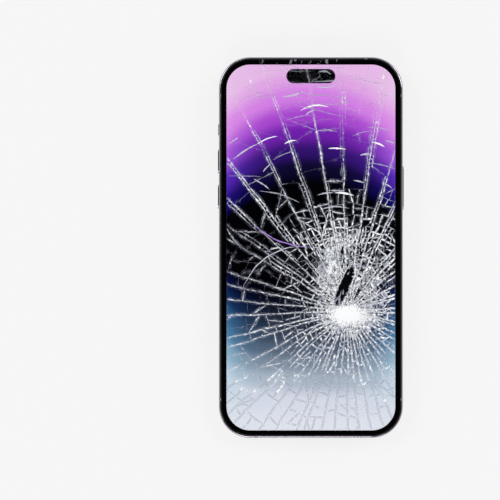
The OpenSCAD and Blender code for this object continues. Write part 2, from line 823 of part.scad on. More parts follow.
// The trim ring: a crowned rim outside, and a neck through the glass
module camera_ring(p) {
    seat_z = window_z + window_t;
    color([0.5, 0.46, 0.52]) at(p) rotate_extrude() polygon([
        [window_r + 0.03, ring_z + 0.15],
        [window_r + 0.2, ring_z],
        [ring_r - 0.55, ring_z],
        [ring_r - 0.15, ring_z + 0.4],
        [ring_r, ring_z + 0.9],
        [ring_r, block_z],
        [ring_neck_r, block_z],
        [ring_neck_r, back_glass_t],
        [barrel_r + 0.05, back_glass_t],
        [barrel_r + 0.05, seat_z],
        [window_r + 0.03, seat_z]
    ]);
}

module camera_window(p) {
    color([0.05, 0.06, 0.08, 0.5]) disc(p, window_r, window_z, window_z + window_t);
}

// The black barrel, with two baffle steps down to the front lens
module camera_barrel(p) {
    lens_z = barrel_z + 1.7;
    color([0.03, 0.03, 0.035]) at(p) rotate_extrude() polygon([
        [barrel_r, barrel_z],
        [barrel_r, floor_z],
        [0, floor_z],
        [0, lens_z + 0.1],
        [2.5, lens_z + 0.1],
        [2.5, lens_z - 0.3],
        [3.4, lens_z - 0.5],
        [3.6, lens_z - 0.9],
        [4.7, lens_z - 1.0],
        [5.1, barrel_z]
    ]);
}

module camera_lens(p) {
    lens_z = barrel_z + 1.7;
    ball_r = 3.2;
    color([0.1, 0.14, 0.25, 0.6]) intersection() {
        at(p) translate([0, 0, lens_z - 0.7 + ball_r]) sphere(ball_r);
        disc(p, 2.4, lens_z - 1, lens_z + 0.1);
    }
}

module camera_module(p) {
    color([0.5, 0.5, 0.52]) block(
        [p[0] - module_w / 2, p[1] - module_w / 2, floor_z],
        [p[0] + module_w / 2, p[1] + module_w / 2, module_top_z]
    );
}

module flash_lens() {
    color([0.93, 0.9, 0.84]) disc(flash_pos, flash_r, block_z, block_z + front_glass_t);
}

// The lamp and its small board, which lies on the plate
module flash_lamp() {
    lamp_w = 4;
    board_w = 8.6;
    color([0.95, 0.85, 0.5]) at(flash_pos) {
        block([-lamp_w / 2, -lamp_w / 2, block_z + front_glass_t], [lamp_w / 2, lamp_w / 2, floor_z + 0.1]);
        block([-board_w / 2, -board_w / 2, floor_z], [board_w / 2, board_w / 2, floor_z + 0.6]);
    }
}

module depth_sensor_window() {
    color([0.13, 0.12, 0.12]) disc(depth_pos, flash_r, block_z, block_z + front_glass_t);
}

// The sensor and its mounting plate, which lies on the chassis plate
module depth_sensor() {
    sensor_w = 4.4;
    flange_w = 8;
    color([0.1, 0.1, 0.11]) at(depth_pos) {
        block([-sensor_w / 2, -sensor_w / 2, block_z + front_glass_t],
            [sensor_w / 2, sensor_w / 2, floor_z + 1.8]);
        block([-flange_w / 2, -flange_w / 2, floor_z], [flange_w / 2, flange_w / 2, floor_z + 0.5]);
    }
}

// The microphone's can on the plate, and the sealing tube that leads down to its hole
module rear_microphone() {
    color([0.05, 0.05, 0.05]) {
        disc(microphone_pos, microphone_r, block_z + 0.3, floor_z + 0.1);
        at(microphone_pos) block([-2, -1.2, floor_z], [1.2, 1.2, floor_z + 0.9]);
    }
}

// ---------------------------------------------------------------- The pieces

side_band();
antenna_breaks();
back_glass();
back_adhesive();
chassis_plate();
cover_glass();
optical_adhesive();
display_panel();
display_frame();
display_backing();
display_gasket();
display_cable();
earpiece_mesh();
earpiece_speaker();
push_button(side_button_l, side_button_y, 1);  // side_button
push_button(volume_button_l, volume_up_y, -1);  // volume_up_button
push_button(volume_button_l, volume_down_y, -1);  // volume_down_button
ring_switch();
key_dome(side_button_l - 2, side_button_y, 1);  // side_key_dome
union() {  // volume_key_domes
    key_dome(volume_button_l - 2, volume_up_y, -1);
    key_dome(volume_button_l - 2, volume_down_y, -1);
}
ring_switch_block();
charging_port_shell();
charging_port_tongue();
bottom_screws();
sound_hole_mesh();
loudspeaker();
haptic_motor();
bottom_microphone();
port_cable();
battery();
battery_strips();
battery_cable();
charging_coil();
magnet_ring();
main_board();
board_chips();
board_shield();
board_screws();
front_camera();
infrared_camera();
camera_ring(upper_pos);  // upper_camera_ring
camera_ring(lower_pos);  // lower_camera_ring
camera_ring(inner_pos);  // inner_camera_ring
camera_window(upper_pos);  // upper_camera_window
camera_window(lower_pos);  // lower_camera_window
camera_window(inner_pos);  // inner_camera_window
camera_barrel(upper_pos);  // upper_camera_barrel
camera_barrel(lower_pos);  // lower_camera_barrel
camera_barrel(inner_pos);  // inner_camera_barrel
camera_lens(upper_pos);  // upper_camera_lens
camera_lens(lower_pos);  // lower_camera_lens
camera_lens(inner_pos);  // inner_camera_lens
camera_module(upper_pos);  // upper_camera_module
camera_module(lower_pos);  // lower_camera_module
camera_module(inner_pos);  // inner_camera_module
flash_lens();
flash_lamp();
depth_sensor_window();
depth_sensor();
rear_microphone();
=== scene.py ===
"""Looks for a slab phone with a shattered screen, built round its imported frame.

The frame gives every solid in its place, in metres: +X to the right of the screen, +Y to the
earpiece end, +Z out of the screen. The glass is worked in millimetres and scaled at the end.
"""

import logging
import math
import random
from dataclasses import dataclass
from enum import Enum
from typing import NamedTuple

import bmesh
import bpy
from bmesh.types import BMEdge, BMFace, BMLayerItem, BMVert, BMesh
from bpy.types import ColorRamp, ID, Material, Mesh, Node, NodeSocket, Object, World
from mathutils import Matrix, Vector, geometry, noise


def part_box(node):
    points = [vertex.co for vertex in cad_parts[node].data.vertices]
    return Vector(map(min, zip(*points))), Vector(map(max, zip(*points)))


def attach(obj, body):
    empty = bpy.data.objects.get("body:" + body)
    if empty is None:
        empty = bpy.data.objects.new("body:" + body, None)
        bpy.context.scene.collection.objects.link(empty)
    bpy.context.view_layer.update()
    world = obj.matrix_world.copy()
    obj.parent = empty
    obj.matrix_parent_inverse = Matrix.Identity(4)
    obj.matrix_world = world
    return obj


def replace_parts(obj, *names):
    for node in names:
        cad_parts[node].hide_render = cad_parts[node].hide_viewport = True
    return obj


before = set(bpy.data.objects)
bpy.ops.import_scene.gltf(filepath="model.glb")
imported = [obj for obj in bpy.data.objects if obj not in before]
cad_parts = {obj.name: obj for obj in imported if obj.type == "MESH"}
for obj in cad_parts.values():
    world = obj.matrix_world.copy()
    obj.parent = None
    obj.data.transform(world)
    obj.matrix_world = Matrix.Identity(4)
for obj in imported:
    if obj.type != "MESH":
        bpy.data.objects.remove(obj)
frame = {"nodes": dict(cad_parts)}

MM = 0.001
LOG = logging.getLogger("phone")
CAMERAS = ("upper", "lower", "inner")
Number = float | int
Colour = tuple[int, int, int]
Triple = tuple[float, float, float]
Stops = tuple[tuple[float, Colour], ...]


def linear(colour: Colour, gain: float = 1.0) -> tuple[float, float, float, float]:
    """Turns a display colour into linear light.

    Args:
        colour: Red, green and blue from 0 to 255.
        gain: What the linear colour is multiplied by.

    Returns:
        Linear red, green, blue, and an alpha of 1.
    """
    parts = [c / 255 for c in colour]
    light = [c / 12.92 if c <= 0.04045 else ((c + 0.055) / 1.055) ** 2.4 for c in parts]
    return (*(min(c * gain, 1.0) for c in light), 1.0)


# ------------------------------------------------------------------------------ shader graphs


class Wire:
    """A shader value that takes Python's arithmetic, which adds its Math nodes."""

    def __init__(self, graph: "Graph", socket: NodeSocket) -> None:
        """Keeps the graph and the socket that the value comes from."""
        self.graph = graph
        self.socket = socket

    def __add__(self, other: "Wire | Number") -> "Wire":
        """Adds."""
        return self.graph.math("ADD", self, other)

    def __sub__(self, other: "Wire | Number") -> "Wire":
        """Subtracts."""
        return self.graph.math("SUBTRACT", self, other)

    def __mul__(self, other: "Wire | Number") -> "Wire":
        """Multiplies."""
        return self.graph.math("MULTIPLY", self, other)

    def __truediv__(self, other: "Wire | Number") -> "Wire":
        """Divides."""
        return self.graph.math("DIVIDE", self, other)

    def __gt__(self, other: "Wire | Number") -> "Wire":
        """Gives 1 where the value is greater, or else 0."""
        return self.graph.math("GREATER_THAN", self, other)

    def __rsub__(self, other: Number) -> "Wire":
        """Subtracts the value from a number."""
        return self.graph.math("SUBTRACT", other, self)

    __radd__ = __add__
    __rmul__ = __mul__


class Graph:
    """A node tree, and the few ways in which nodes are added to it."""

    def __init__(self, owner: Material | World) -> None:
        """Empties the owner's node tree and keeps it."""
        owner.use_nodes = True
        self.tree = owner.node_tree
        self.tree.nodes.clear()

    def node(self, kind: str, settings: dict | None = None, sockets: dict | None = None) -> Node:
        """Adds a node.

        Args:
            kind: The node's type.
            settings: What is set first, where "stops" are a ramp's positions and colours.
            sockets: Values or wires of its inputs, by name or by index.

        Returns:
            The node.
        """
        made = self.tree.nodes.new(kind)
        for name, value in (settings or {}).items():
            if name == "stops":
                self.fill_ramp(made.color_ramp, value)
            else:
                setattr(made, name, value)
        for key, value in (sockets or {}).items():
            if isinstance(value, Wire):
                self.tree.links.new(value.socket, made.inputs[key])
            else:
                made.inputs[key].default_value = value
        return made

    @staticmethod
    def fill_ramp(ramp: ColorRamp, stops: list[tuple[float, tuple]]) -> None:
        """Gives a ramp its stops.

        Args:
            ramp: The ramp, which has two stops when new.
            stops: Each stop's position and colour, in order.
        """
        while len(ramp.elements) < len(stops):
            ramp.elements.new(1.0)
        for element, (position, colour) in zip(ramp.elements, stops):
            element.position = position
            element.color = colour

    def wire(self, node: Node, output: str | int = 0) -> Wire:
        """Gives a node's output as a wire."""
        return Wire(self, node.outputs[output])

    def math(self, operation: str, *values: Wire | Number) -> Wire:
        """Adds a Math node.

        Args:
            operation: The node's operation.
            values: Its inputs in order.

        Returns:
            Its result.
        """
        settings = {"operation": operation}
        return self.wire(self.node("ShaderNodeMath", settings, dict(enumerate(values))))

    def place(self) -> Wire:
        """Gives the object coordinates, in metres."""
        return self.wire(self.node("ShaderNodeTexCoord"), "Object")

    def axes(self) -> list[Wire]:
        """Gives the three object coordinates as wires."""
        split = self.node("ShaderNodeSeparateXYZ", None, {0: self.place()})
        return [self.wire(split, axis) for axis in range(3)]

    def scaled(self, scale: Triple) -> Wire:
        """Gives the object coordinates multiplied by a factor along each axis."""
        return self.wire(self.node("ShaderNodeMapping", None, {"Vector": self.place(), "Scale": scale}))

    def noise(self, size: float, detail: float = 3.0, stretch: Triple = (1, 1, 1)) -> Wire:
        """Adds a noise of a given grain.

        Args:
            size: Grain in metres.
            detail: How many finer layers it has.
            stretch: Factors on the coordinates, below 1 to draw the grain out.

        Returns:
            A value from about 0.25 to 0.75.
        """
        scale = tuple(s / size for s in stretch)
        sockets = {"Vector": self.scaled(scale), "Scale": 1.0, "Detail": detail}
        return self.wire(self.node("ShaderNodeTexNoise", None, sockets), "Fac")

    def steps(self, value: Wire, low: float, high: float, to_low: float = 0.0,
              to_high: float = 1.0) -> Wire:
        """Maps a range smoothly onto another.

        Args:
            value: What is mapped.
            low: Start of the range.
            high: End of the range.
            to_low: Result at the start and before it.
            to_high: Result at the end and past it.

        Returns:
            The mapped value.
        """
        sockets = {0: value, 1: low, 2: high, 3: to_low, 4: to_high}
        settings = {"interpolation_type": "SMOOTHSTEP"}
        return self.wire(self.node("ShaderNodeMapRange", settings, sockets))

    def blend(self, factor: Wire, first: "Wire | tuple", second: "Wire | tuple") -> Wire:
        """Mixes two colours.

        Args:
            factor: 0 gives the first, 1 the second.
            first: A colour.
            second: A colour.

        Returns:
            The mixed colour.
        """
        sockets = {0: factor, 6: first, 7: second}
        return self.wire(self.node("ShaderNodeMix", {"data_type": "RGBA"}, sockets), 2)

    def bump(self, height: Wire, depth: float, strength: float = 1.0) -> Wire:
        """Adds a bump.

        Args:
            height: A height from 0 to 1.
            depth: Depth in metres of that height.
            strength: Share of the bump that is kept.

        Returns:
            The bent normal.
        """
        sockets = {"Height": height, "Distance": depth, "Strength": strength}
        return self.wire(self.node("ShaderNodeBump", None, sockets), "Normal")

    def surface(self, sockets: dict) -> None:
        """Adds the Principled shader with these sockets and joins it to the output."""
        shader = self.wire(self.node("ShaderNodeBsdfPrincipled", None, sockets))
        self.node("ShaderNodeOutputMaterial", None, {"Surface": shader})


# ---------------------------------------------------------------------------------- finishes


class Grain(Enum):
    """Patterns that a solid finish can have."""

    SATIN = "fine even grain"
    BRUSHED = "long fine lines along the phone"
    SCUFFED = "polished, with faint rubbed patches"
    MOULDED = "pebbled moulding"
    MESH = "rows of small holes"
    WOUND = "round windings about the phone's centre"
    TRACKS = "printed tracks"
    WRINKLED = "drawn film with wrinkles"


@dataclass(frozen=True)
class Recipe:
    """What every finish has: a name, the sockets that it draws, and the material made from them."""

    name: str

    def sockets(self, graph: Graph) -> dict:
        """Draws what feeds the Principled shader, by the names of its sockets."""
        raise NotImplementedError

    def build(self) -> Material:
        """Makes the material."""
        material = bpy.data.materials.new(self.name)
        graph = Graph(material)
        graph.surface(self.sockets(graph))
        return material


@dataclass(frozen=True)
class Finish(Recipe):
    """A solid finish: its colour, its gloss, and a grain in millimetres that varies both."""

    colour: Colour
    roughness: float
    metallic: float = 0.0
    grain: Grain = Grain.SATIN
    size: float = 0.4
    depth: float = 0.004
    tint: float = 0.12
    gloss_spread: float = 0.12
    coat: float = 0.0
    level: float = 0.5

    def height(self, graph: Graph) -> Wire:
        """Draws the grain.

        Args:
            graph: Where its nodes go.

        Returns:
            A value from 0 to 1.
        """
        size = self.size * MM
        if self.grain is Grain.BRUSHED:
            return graph.noise(size, 4.0, (1.0, 0.02, 1.0))
        if self.grain is Grain.SCUFFED:
            return graph.noise(size, 6.0) * 0.6 + graph.noise(size / 12, 2.0, (1, 0.1, 1)) * 0.4
        if self.grain is Grain.MOULDED:
            return self.cells(graph, 1.0)
        if self.grain is Grain.MESH:
            return graph.steps(self.cells(graph, 0.0), 0.28, 0.36)
        if self.grain is Grain.WOUND:
            x, y, _ = graph.axes()
            radius = graph.math("SQRT", x * x + y * y)
            return graph.math("SINE", radius * (2 * math.pi / size)) * 0.5 + 0.5
        if self.grain is Grain.TRACKS:
            sockets = {"Vector": graph.scaled((1 / size,) * 3), "Scale": 1.0, "Mortar Size": 0.06}
            bricks = graph.node("ShaderNodeTexBrick", {"offset": 0.37, "squash": 1.7}, sockets)
            return graph.wire(bricks, "Fac") * 0.8 + graph.noise(size / 3) * 0.2
        if self.grain is Grain.WRINKLED:
            return graph.noise(size, 3.0, (0.35, 1.0, 1.0))
        return graph.noise(size)

    def cells(self, graph: Graph, randomness: float) -> Wire:
        """Gives the distance from the middle of each cell.

        Args:
            graph: Where the nodes go.
            randomness: 0 sets the cells in rows.

        Returns:
            The distance, as a share of a cell.
        """
        scale = (1 / (self.size * MM),) * 3
        sockets = {"Vector": graph.scaled(scale), "Scale": 1.0, "Randomness": randomness}
        return graph.wire(graph.node("ShaderNodeTexVoronoi", None, sockets), "Distance")

    def sockets(self, graph: Graph) -> dict:
        """Varies colour and gloss with the grain."""
        height = self.height(graph)
        dark, light = linear(self.colour, 1 - self.tint), linear(self.colour, 1 + self.tint)
        rough = height * (2 * self.gloss_spread) + (self.roughness - self.gloss_spread)
        return {
            "Base Color": graph.blend(height, dark, light),
            "Roughness": graph.math("MAXIMUM", rough, 0.03),
            "Metallic": self.metallic,
            "Coat Weight": self.coat,
            "Specular IOR Level": self.level,
            "Normal": graph.bump(height, self.depth * MM),
        }


@dataclass(frozen=True)
class BackGlassFinish(Recipe):
    """Frosted glass over a deep violet print, polished and darker on the raised camera block, with a painted
    highlight on the block's rounded edge.
    """

    name: str = "frosted_back"
    colour: Colour = (106, 95, 112)
    block_colour: Colour = (44, 39, 54)
    # Colour of the painted highlight on the camera block's rounded edge.
    rim_highlight_colour: Colour = (158, 146, 168)

    def sockets(self, graph: Graph) -> dict:
        """Lays the frosted print, the polished block, and a paler band on the block's rounded edge that is a
        painted highlight.
        """
        _, _, z = graph.axes()
        block = graph.steps(z, -1.4 * MM, -0.2 * MM, 1.0, 0.0)
        frost = graph.noise(0.12 * MM, 2.0)
        cloud = graph.noise(30 * MM, 2.0)
        # Painted highlight: between these heights the block's edge is lightened towards the highlight colour.
        rim_highlight = graph.steps(z, -1.86 * MM, -1.7 * MM) * graph.steps(z, -0.5 * MM, -0.2 * MM, 1.0, 0.0)
        plain = graph.blend(cloud, linear(self.colour, 0.9), linear(self.colour, 1.1))
        flat = graph.blend(block, plain, linear(self.block_colour))
        return {
            "Base Color": graph.blend(rim_highlight, flat, linear(self.rim_highlight_colour)),
            "Roughness": frost * 0.16 + 0.3 - block * 0.27,
            "Metallic": 0.35 - block * 0.3,
            "Specular IOR Level": 0.35,
            "Coat Weight": block * 0.15,
            "Coat Roughness": 0.03,
            "Normal": graph.bump(frost * (1 - block), 0.003 * MM),
        }


@dataclass(frozen=True)
class ClearFinish(Recipe):
    """Clear glass or clear adhesive that lets light through."""

    colour: Colour = (250, 251, 255)
    level: float = 0.3
    roughness: float = 0.0
    bend: float = 1.45

    def sockets(self, graph: Graph) -> dict:
        """Lets the light through."""
        return {
            "Base Color": linear(self.colour),
            "Roughness": self.roughness,
            "IOR": self.bend,
            "Specular IOR Level": self.level,
            "Transmission Weight": 1.0,
        }


@dataclass(frozen=True)
class CrackFinish(Recipe):
    """Crushed glass along a crack: pale and rough, more or less see-through."""

    colour: Colour
    cover: float
    tint: float = 0.1
    patchy: float = 0.0

    def sockets(self, graph: Graph) -> dict:
        """Breaks the pale glass up into chips, and leaves bare patches in a patchy one."""
        chips = graph.steps(graph.noise(0.5 * MM, 3.0), 0.32, 0.68)
        bare = 1 - graph.steps(graph.noise(0.9 * MM, 4.0), 0.4, 0.6)
        light, dark = linear(self.colour, 1 + self.tint), linear(self.colour, 1 - self.tint)
        return {
            "Base Color": graph.blend(chips, dark, light),
            "Roughness": chips * 0.3 + 0.35,
            "Specular IOR Level": 0.3,
            "Alpha": self.cover - bare * (self.cover * self.patchy) if self.patchy else self.cover,
            "Normal": graph.bump(chips, 0.03 * MM, 0.6),
        }


@dataclass(frozen=True)
class BorderFinish(Recipe):
    """Glossy black print, with pale streaks where the cracks run out over it at the top."""

    name: str = "border_print"
    colour: Colour = (2, 2, 3)
    streak: Colour = (112, 108, 122)
    start: float = 77.2 * MM

    def sockets(self, graph: Graph) -> dict:
        """Draws the streaks over the print."""
        x, y, _ = graph.axes()
        near = graph.steps(y, self.start, self.start + 0.4 * MM) * graph.steps(x, -24 * MM, -18 * MM)
        lines = graph.steps(graph.noise(1.5 * MM, 3.0, (1.0, 0.4, 1.0)), 0.56, 0.66)
        marks = lines * near * graph.steps(x, 10 * MM, 18 * MM, 1.0, 0.0)
        grain = graph.noise(3 * MM)
        return {
            "Base Color": graph.blend(marks, linear(self.colour), linear(self.streak)),
            "Roughness": grain * 0.1 + 0.05 + marks * 0.4,
            "Specular IOR Level": 0.25,
            "Normal": graph.bump(marks, 0.01 * MM),
        }


@dataclass(frozen=True)
class LitPanelFinish(Recipe):
    """The lit display: soft fields of pink, violet, black and pale blue along its height."""

    name: str = "lit_fields"
    half_width: float = 35.6 * MM
    half_height: float = 77.15 * MM
    upper_sag: float = 12 * MM
    lower_sag: float = 7 * MM
    middle: Stops = (
        (-77, (236, 239, 246)), (-65, (226, 230, 240)), (-56, (178, 191, 204)),
        (-49, (130, 144, 160)), (-43, (90, 104, 122)), (-37, (58, 69, 86)), (-31, (32, 42, 57)),
        (-24, (8, 14, 28)), (-17, (1, 1, 3)), (26, (1, 1, 3)), (34, (14, 9, 46)),
        (41, (52, 20, 112)), (49, (118, 34, 176)), (56, (176, 72, 214)),
        (64, (224, 132, 238)), (72, (238, 172, 238)), (77, (242, 192, 240)),
    )
    edge: Stops = (
        (-77, (230, 236, 243)), (-62, (206, 226, 236)), (-50, (142, 184, 206)),
        (-42, (72, 130, 170)), (-35, (52, 102, 146)), (-28, (18, 50, 98)),
        (-21, (6, 16, 62)), (-14, (1, 1, 4)), (24, (1, 1, 6)), (31, (26, 12, 122)),
        (40, (90, 44, 192)), (50, (172, 96, 226)), (62, (232, 150, 240)),
        (77, (246, 204, 242)),
    )

    def ramp(self, graph: Graph, along: Wire, stops: Stops) -> Wire:
        """Colours a position along the display.

        Args:
            graph: Where the nodes go.
            along: Position from 0 at the bottom to 1 at the top.
            stops: Positions in millimetres and their colours.

        Returns:
            The colour.
        """
        reach = 2 * self.half_height / MM
        points = [((y + reach / 2) / reach, linear(colour)) for y, colour in stops]
        node = graph.node("ShaderNodeValToRGB", {"stops": points}, {0: along})
        node.color_ramp.interpolation = "EASE"
        return graph.wire(node)

    def sockets(self, graph: Graph) -> dict:
        """Lights the fields, which sag towards the sides."""
        x, y, _ = graph.axes()
        out = x / self.half_width
        side = out * out
        upper = y > 0.0
        sag = side * upper * self.upper_sag - side * side * side * (1 - upper) * self.lower_sag
        drift = (graph.noise(60 * MM, 1.0) - 0.5) * (5 * MM)
        along = (y + sag + drift + self.half_height) / (2 * self.half_height)
        middle, edge = (self.ramp(graph, along, stops) for stops in (self.middle, self.edge))
        return {
            "Base Color": (0.001, 0.001, 0.001, 1.0),
            "Roughness": graph.noise(0.3 * MM, 1.0) * 0.1 + 0.3,
            "Specular IOR Level": 0.1,
            "Emission Color": graph.blend(side * side, middle, edge),
            "Emission Strength": 1.0,
        }


@dataclass(frozen=True)
class PaintedGlintLens(Recipe):
    """A coated lens: dark glass with a bright painted glint in its middle that fades out to the dark coating
    at its edge.
    """

    centre: tuple[float, float]
    # inner is the colour of the painted glint in the middle; outer is the dark coating at the edge.
    inner: Colour
    outer: Colour
    reach: float = 2.2 * MM

    def sockets(self, graph: Graph) -> dict:
        """Fades the painted glint in the middle out into the dark coating."""
        x, y, _ = graph.axes()
        dx, dy = x - self.centre[0] * MM, y - self.centre[1] * MM
        out = graph.math("SQRT", dx * dx + dy * dy) / self.reach
        return {
            "Base Color": graph.blend(graph.steps(out, 0.2, 1.0), linear(self.inner), linear(self.outer)),
            "Metallic": 0.4,
            "Roughness": graph.noise(1.0 * MM) * 0.04 + 0.03,
            "Coat Weight": graph.steps(out, 0.0, 1.0, 1.0, 0.7),
            "Coat Roughness": 0.02,
        }


class Paint(Enum):
    """Every finish of a solid that keeps its own shape."""

    BAND = Finish("violet_band", (158, 151, 162), 0.2, 1.0, Grain.SCUFFED, 9, 0.002, 0.1, 0.08)
    BUTTON = Finish("violet_button", (150, 143, 154), 0.22, 1.0, Grain.BRUSHED, 0.3, 0.003, 0.1, 0.08)
    BREAK = Finish("antenna_break", (128, 120, 132), 0.4, 0.0, Grain.SATIN, 0.3)
    RING = Finish("violet_ring", (150, 140, 156), 0.16, 1.0, Grain.SCUFFED, 4, 0.002, 0.12, 0.08)
    FRAME = Finish("black_moulding", (20, 20, 22), 0.5, 0.0, Grain.MOULDED, 0.5, 0.01)
    ADHESIVE = Finish("black_adhesive", (24, 24, 26), 0.6, 0.0, Grain.WRINKLED, 2, 0.01)
    GASKET = Finish("black_foam", (28, 28, 30), 0.85, 0.0, Grain.MOULDED, 0.25, 0.03)
    BARREL = Finish("black_barrel", (8, 8, 10), 0.5, size=0.2, level=0.08)
    CHIP = Finish("chip_moulding", (38, 38, 42), 0.5, 0.0, Grain.MOULDED, 0.3, 0.008)
    MESH = Finish("pierced_mesh", (24, 24, 27), 0.5, 0.6, Grain.MESH, 0.28, 0.05, 0.7)
    PLATE = Finish("milled_plate", (176, 178, 184), 0.36, 1.0, Grain.BRUSHED, 0.4, 0.004)
    SHIELD = Finish("pressed_shield", (186, 186, 190), 0.32, 1.0, Grain.SATIN, 1.2, 0.01)
    SCREW = Finish("turned_screw", (160, 154, 164), 0.25, 1.0, Grain.BRUSHED, 0.15, 0.004)
    MAGNET = Finish("plated_magnet", (182, 184, 188), 0.28, 1.0, Grain.SATIN, 0.6, 0.004)
    COIL = Finish("wound_copper", (206, 138, 92), 0.34, 1.0, Grain.WOUND, 0.9, 0.08, 0.3)
    FILM = Finish("amber_film", (196, 128, 62), 0.3, 0.1, Grain.TRACKS, 1.6, 0.01, 0.25)
    STRIP = Finish("stretch_strip", (222, 222, 220), 0.7, 0.0, Grain.WRINKLED, 1.2, 0.02)
    WRAP = Finish("wrinkled_wrap", (52, 52, 56), 0.42, 0.0, Grain.WRINKLED, 7, 0.06)
    BOARD = Finish("lacquered_board", (30, 52, 92), 0.35, 0.0, Grain.TRACKS, 1.8, 0.03, 0.4, 0.1, 0.4)
    LAMP = Finish("phosphor_lamp", (232, 206, 120), 0.5, 0.0, Grain.SATIN, 0.5, 0.01)
    DIFFUSER = Finish("ridged_diffuser", (216, 209, 208), 0.25, 0.0, Grain.MOULDED, 0.7, 0.05, 0.08, 0.1, 0.5)
    SENSOR = Finish("smoked_window", (34, 35, 31), 0.12, 0.0, Grain.SATIN, 2, 0.001, 0.15, 0.04, level=0.15)
    MIC = Finish("microphone_pad", (26, 26, 28), 0.55, 0.0, Grain.MESH, 0.2, 0.02, 0.5)
    BACK = BackGlassFinish()
    PANEL = LitPanelFinish()
    BONDING = ClearFinish("clear_bonding", (255, 255, 255), 0.0)
    WINDOW = ClearFinish("camera_window", (132, 140, 152), 0.05)
    # The bright inner colours of these three lenses are painted glints.
    UPPER_LENS = PaintedGlintLens("upper_lens_coating", (24.55, 66.35), (120, 205, 250), (8, 14, 22))
    LOWER_LENS = PaintedGlintLens("lower_lens_coating", (24.55, 46.95), (170, 180, 255), (10, 24, 26))
    INNER_LENS = PaintedGlintLens("inner_lens_coating", (6.65, 56.65), (104, 176, 250), (10, 18, 30))


@dataclass
class CarriedSolids:
    """The solids that keep their own shape and take a finish."""

    coats: tuple[tuple[Paint, tuple[str, ...]], ...] = (
        (Paint.BAND, ("side_band",)),
        (Paint.BUTTON, ("side_button", "volume_up_button", "volume_down_button", "ring_switch")),
        (Paint.BREAK, ("antenna_breaks",)),
        (Paint.BACK, ("back_glass",)),
        (Paint.RING, tuple(f"{place}_camera_ring" for place in CAMERAS)),
        (Paint.BARREL, tuple(f"{place}_camera_barrel" for place in CAMERAS)),
        (Paint.WINDOW, tuple(f"{place}_camera_window" for place in CAMERAS)),
        (Paint.UPPER_LENS, ("upper_camera_lens",)),
        (Paint.LOWER_LENS, ("lower_camera_lens",)),
        (Paint.INNER_LENS, ("inner_camera_lens",)),
        (Paint.DIFFUSER, ("flash_lens",)),
        (Paint.LAMP, ("flash_lamp",)),
        (Paint.SENSOR, ("depth_sensor_window",)),
        (Paint.MIC, ("rear_microphone",)),
        (Paint.PANEL, ("display_panel",)),
        (Paint.BONDING, ("optical_adhesive",)),
        (Paint.FRAME, ("display_frame", "ring_switch_block")),
        (Paint.ADHESIVE, ("back_adhesive",)),
        (Paint.GASKET, ("display_gasket",)),
        (Paint.MESH, ("earpiece_mesh", "sound_hole_mesh")),
        (Paint.CHIP, ("board_chips", "charging_port_tongue", "earpiece_speaker", "loudspeaker",
                      "front_camera", "infrared_camera", "depth_sensor")),
        (Paint.PLATE, ("chassis_plate",)),
        (Paint.SHIELD, ("display_backing", "side_key_dome", "volume_key_domes", "charging_port_shell",
                        "haptic_motor", "bottom_microphone", "board_shield", "upper_camera_module",
                        "lower_camera_module", "inner_camera_module")),
        (Paint.SCREW, ("bottom_screws", "board_screws")),
        (Paint.MAGNET, ("magnet_ring",)),
        (Paint.COIL, ("charging_coil",)),
        (Paint.FILM, ("display_cable", "port_cable", "battery_cable")),
        (Paint.STRIP, ("battery_strips",)),
        (Paint.WRAP, ("battery",)),
        (Paint.BOARD, ("main_board",)),
    )

    def dress(self, nodes: dict[str, Object]) -> None:
        """Gives every carried solid its finish.

        Args:
            nodes: The frame's solids by name.
        """
        for paint, names in self.coats:
            material = paint.value.build()
            for name in names:
                for slot in nodes[name].material_slots:
                    slot.material = material
            LOG.info("%s on %s", material.name, ", ".join(names))


def put_in_scene(name: str, data: ID) -> Object:
    """Makes an object round its data and links it to the scene."""
    made = bpy.data.objects.new(name, data)
    bpy.context.scene.collection.objects.link(made)
    return made


def to_data(name: str, mesh: BMesh) -> Mesh:
    """Turns a mesh that is being worked into mesh data, and frees it."""
    data = bpy.data.meshes.new(name)
    mesh.to_mesh(data)
    mesh.free()
    return data


def add_piece(name: str, mesh: BMesh, materials: list[Material]) -> Object:
    """Turns a finished mesh into a piece that rides on the phone.

    Args:
        name: The piece's name.
        mesh: Its mesh in millimetres, which is freed.
        materials: Its materials in order.

    Returns:
        The piece.
    """
    bmesh.ops.transform(mesh, matrix=Matrix.Scale(MM, 4), verts=mesh.verts)
    data = to_data(name, mesh)
    for material in materials:
        data.materials.append(material)
    piece = put_in_scene(name, data)
    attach(piece, "phone")
    LOG.info("%s: %d faces", name, len(data.polygons))
    return piece


# -------------------------------------------------------------------------- shattered screen


def middle_of(edge: BMEdge) -> Vector:
    """Gives the middle of an edge."""
    return (edge.verts[0].co + edge.verts[1].co) / 2


def way_of(edge: BMEdge) -> Vector:
    """Gives the direction of an edge."""
    return (edge.verts[1].co - edge.verts[0].co).normalized()


def across_from(way: Vector) -> Vector:
    """Turns a flat direction a quarter round to the left."""
    return Vector((-way.y, way.x, 0))


def ripple(point: Vector, size: float, shift: Triple = (0, 0, 0)) -> float:
    """Gives a smooth noise with waves of about a given size in millimetres."""
    return noise.noise(point / size + Vector(shift))


def shiver(point: Vector, size: float, reach: float, shift: Triple = (0, 0, 0)) -> Vector:
    """Gives a smooth shift in the plane, with waves of a given size and reach."""
    return noise.noise_vector(point / size + Vector(shift)).to_2d().to_3d() * reach


def spin(degrees: float) -> Matrix:
    """Turns directions about z."""
    return Matrix.Rotation(math.radians(degrees), 3, "Z")


def merge(part: BMesh, whole: BMesh) -> None:
    """Copies one mesh into another."""
    data = bpy.data.meshes.new("part")
    part.to_mesh(data)
    whole.from_mesh(data)
    bpy.data.meshes.remove(data)


def give_slot(verts: list[BMVert], slot: int) -> None:
    """Gives the faces at some vertices their material slot."""
    for vert in verts:
        for face in vert.link_faces:
            face.material_index = slot


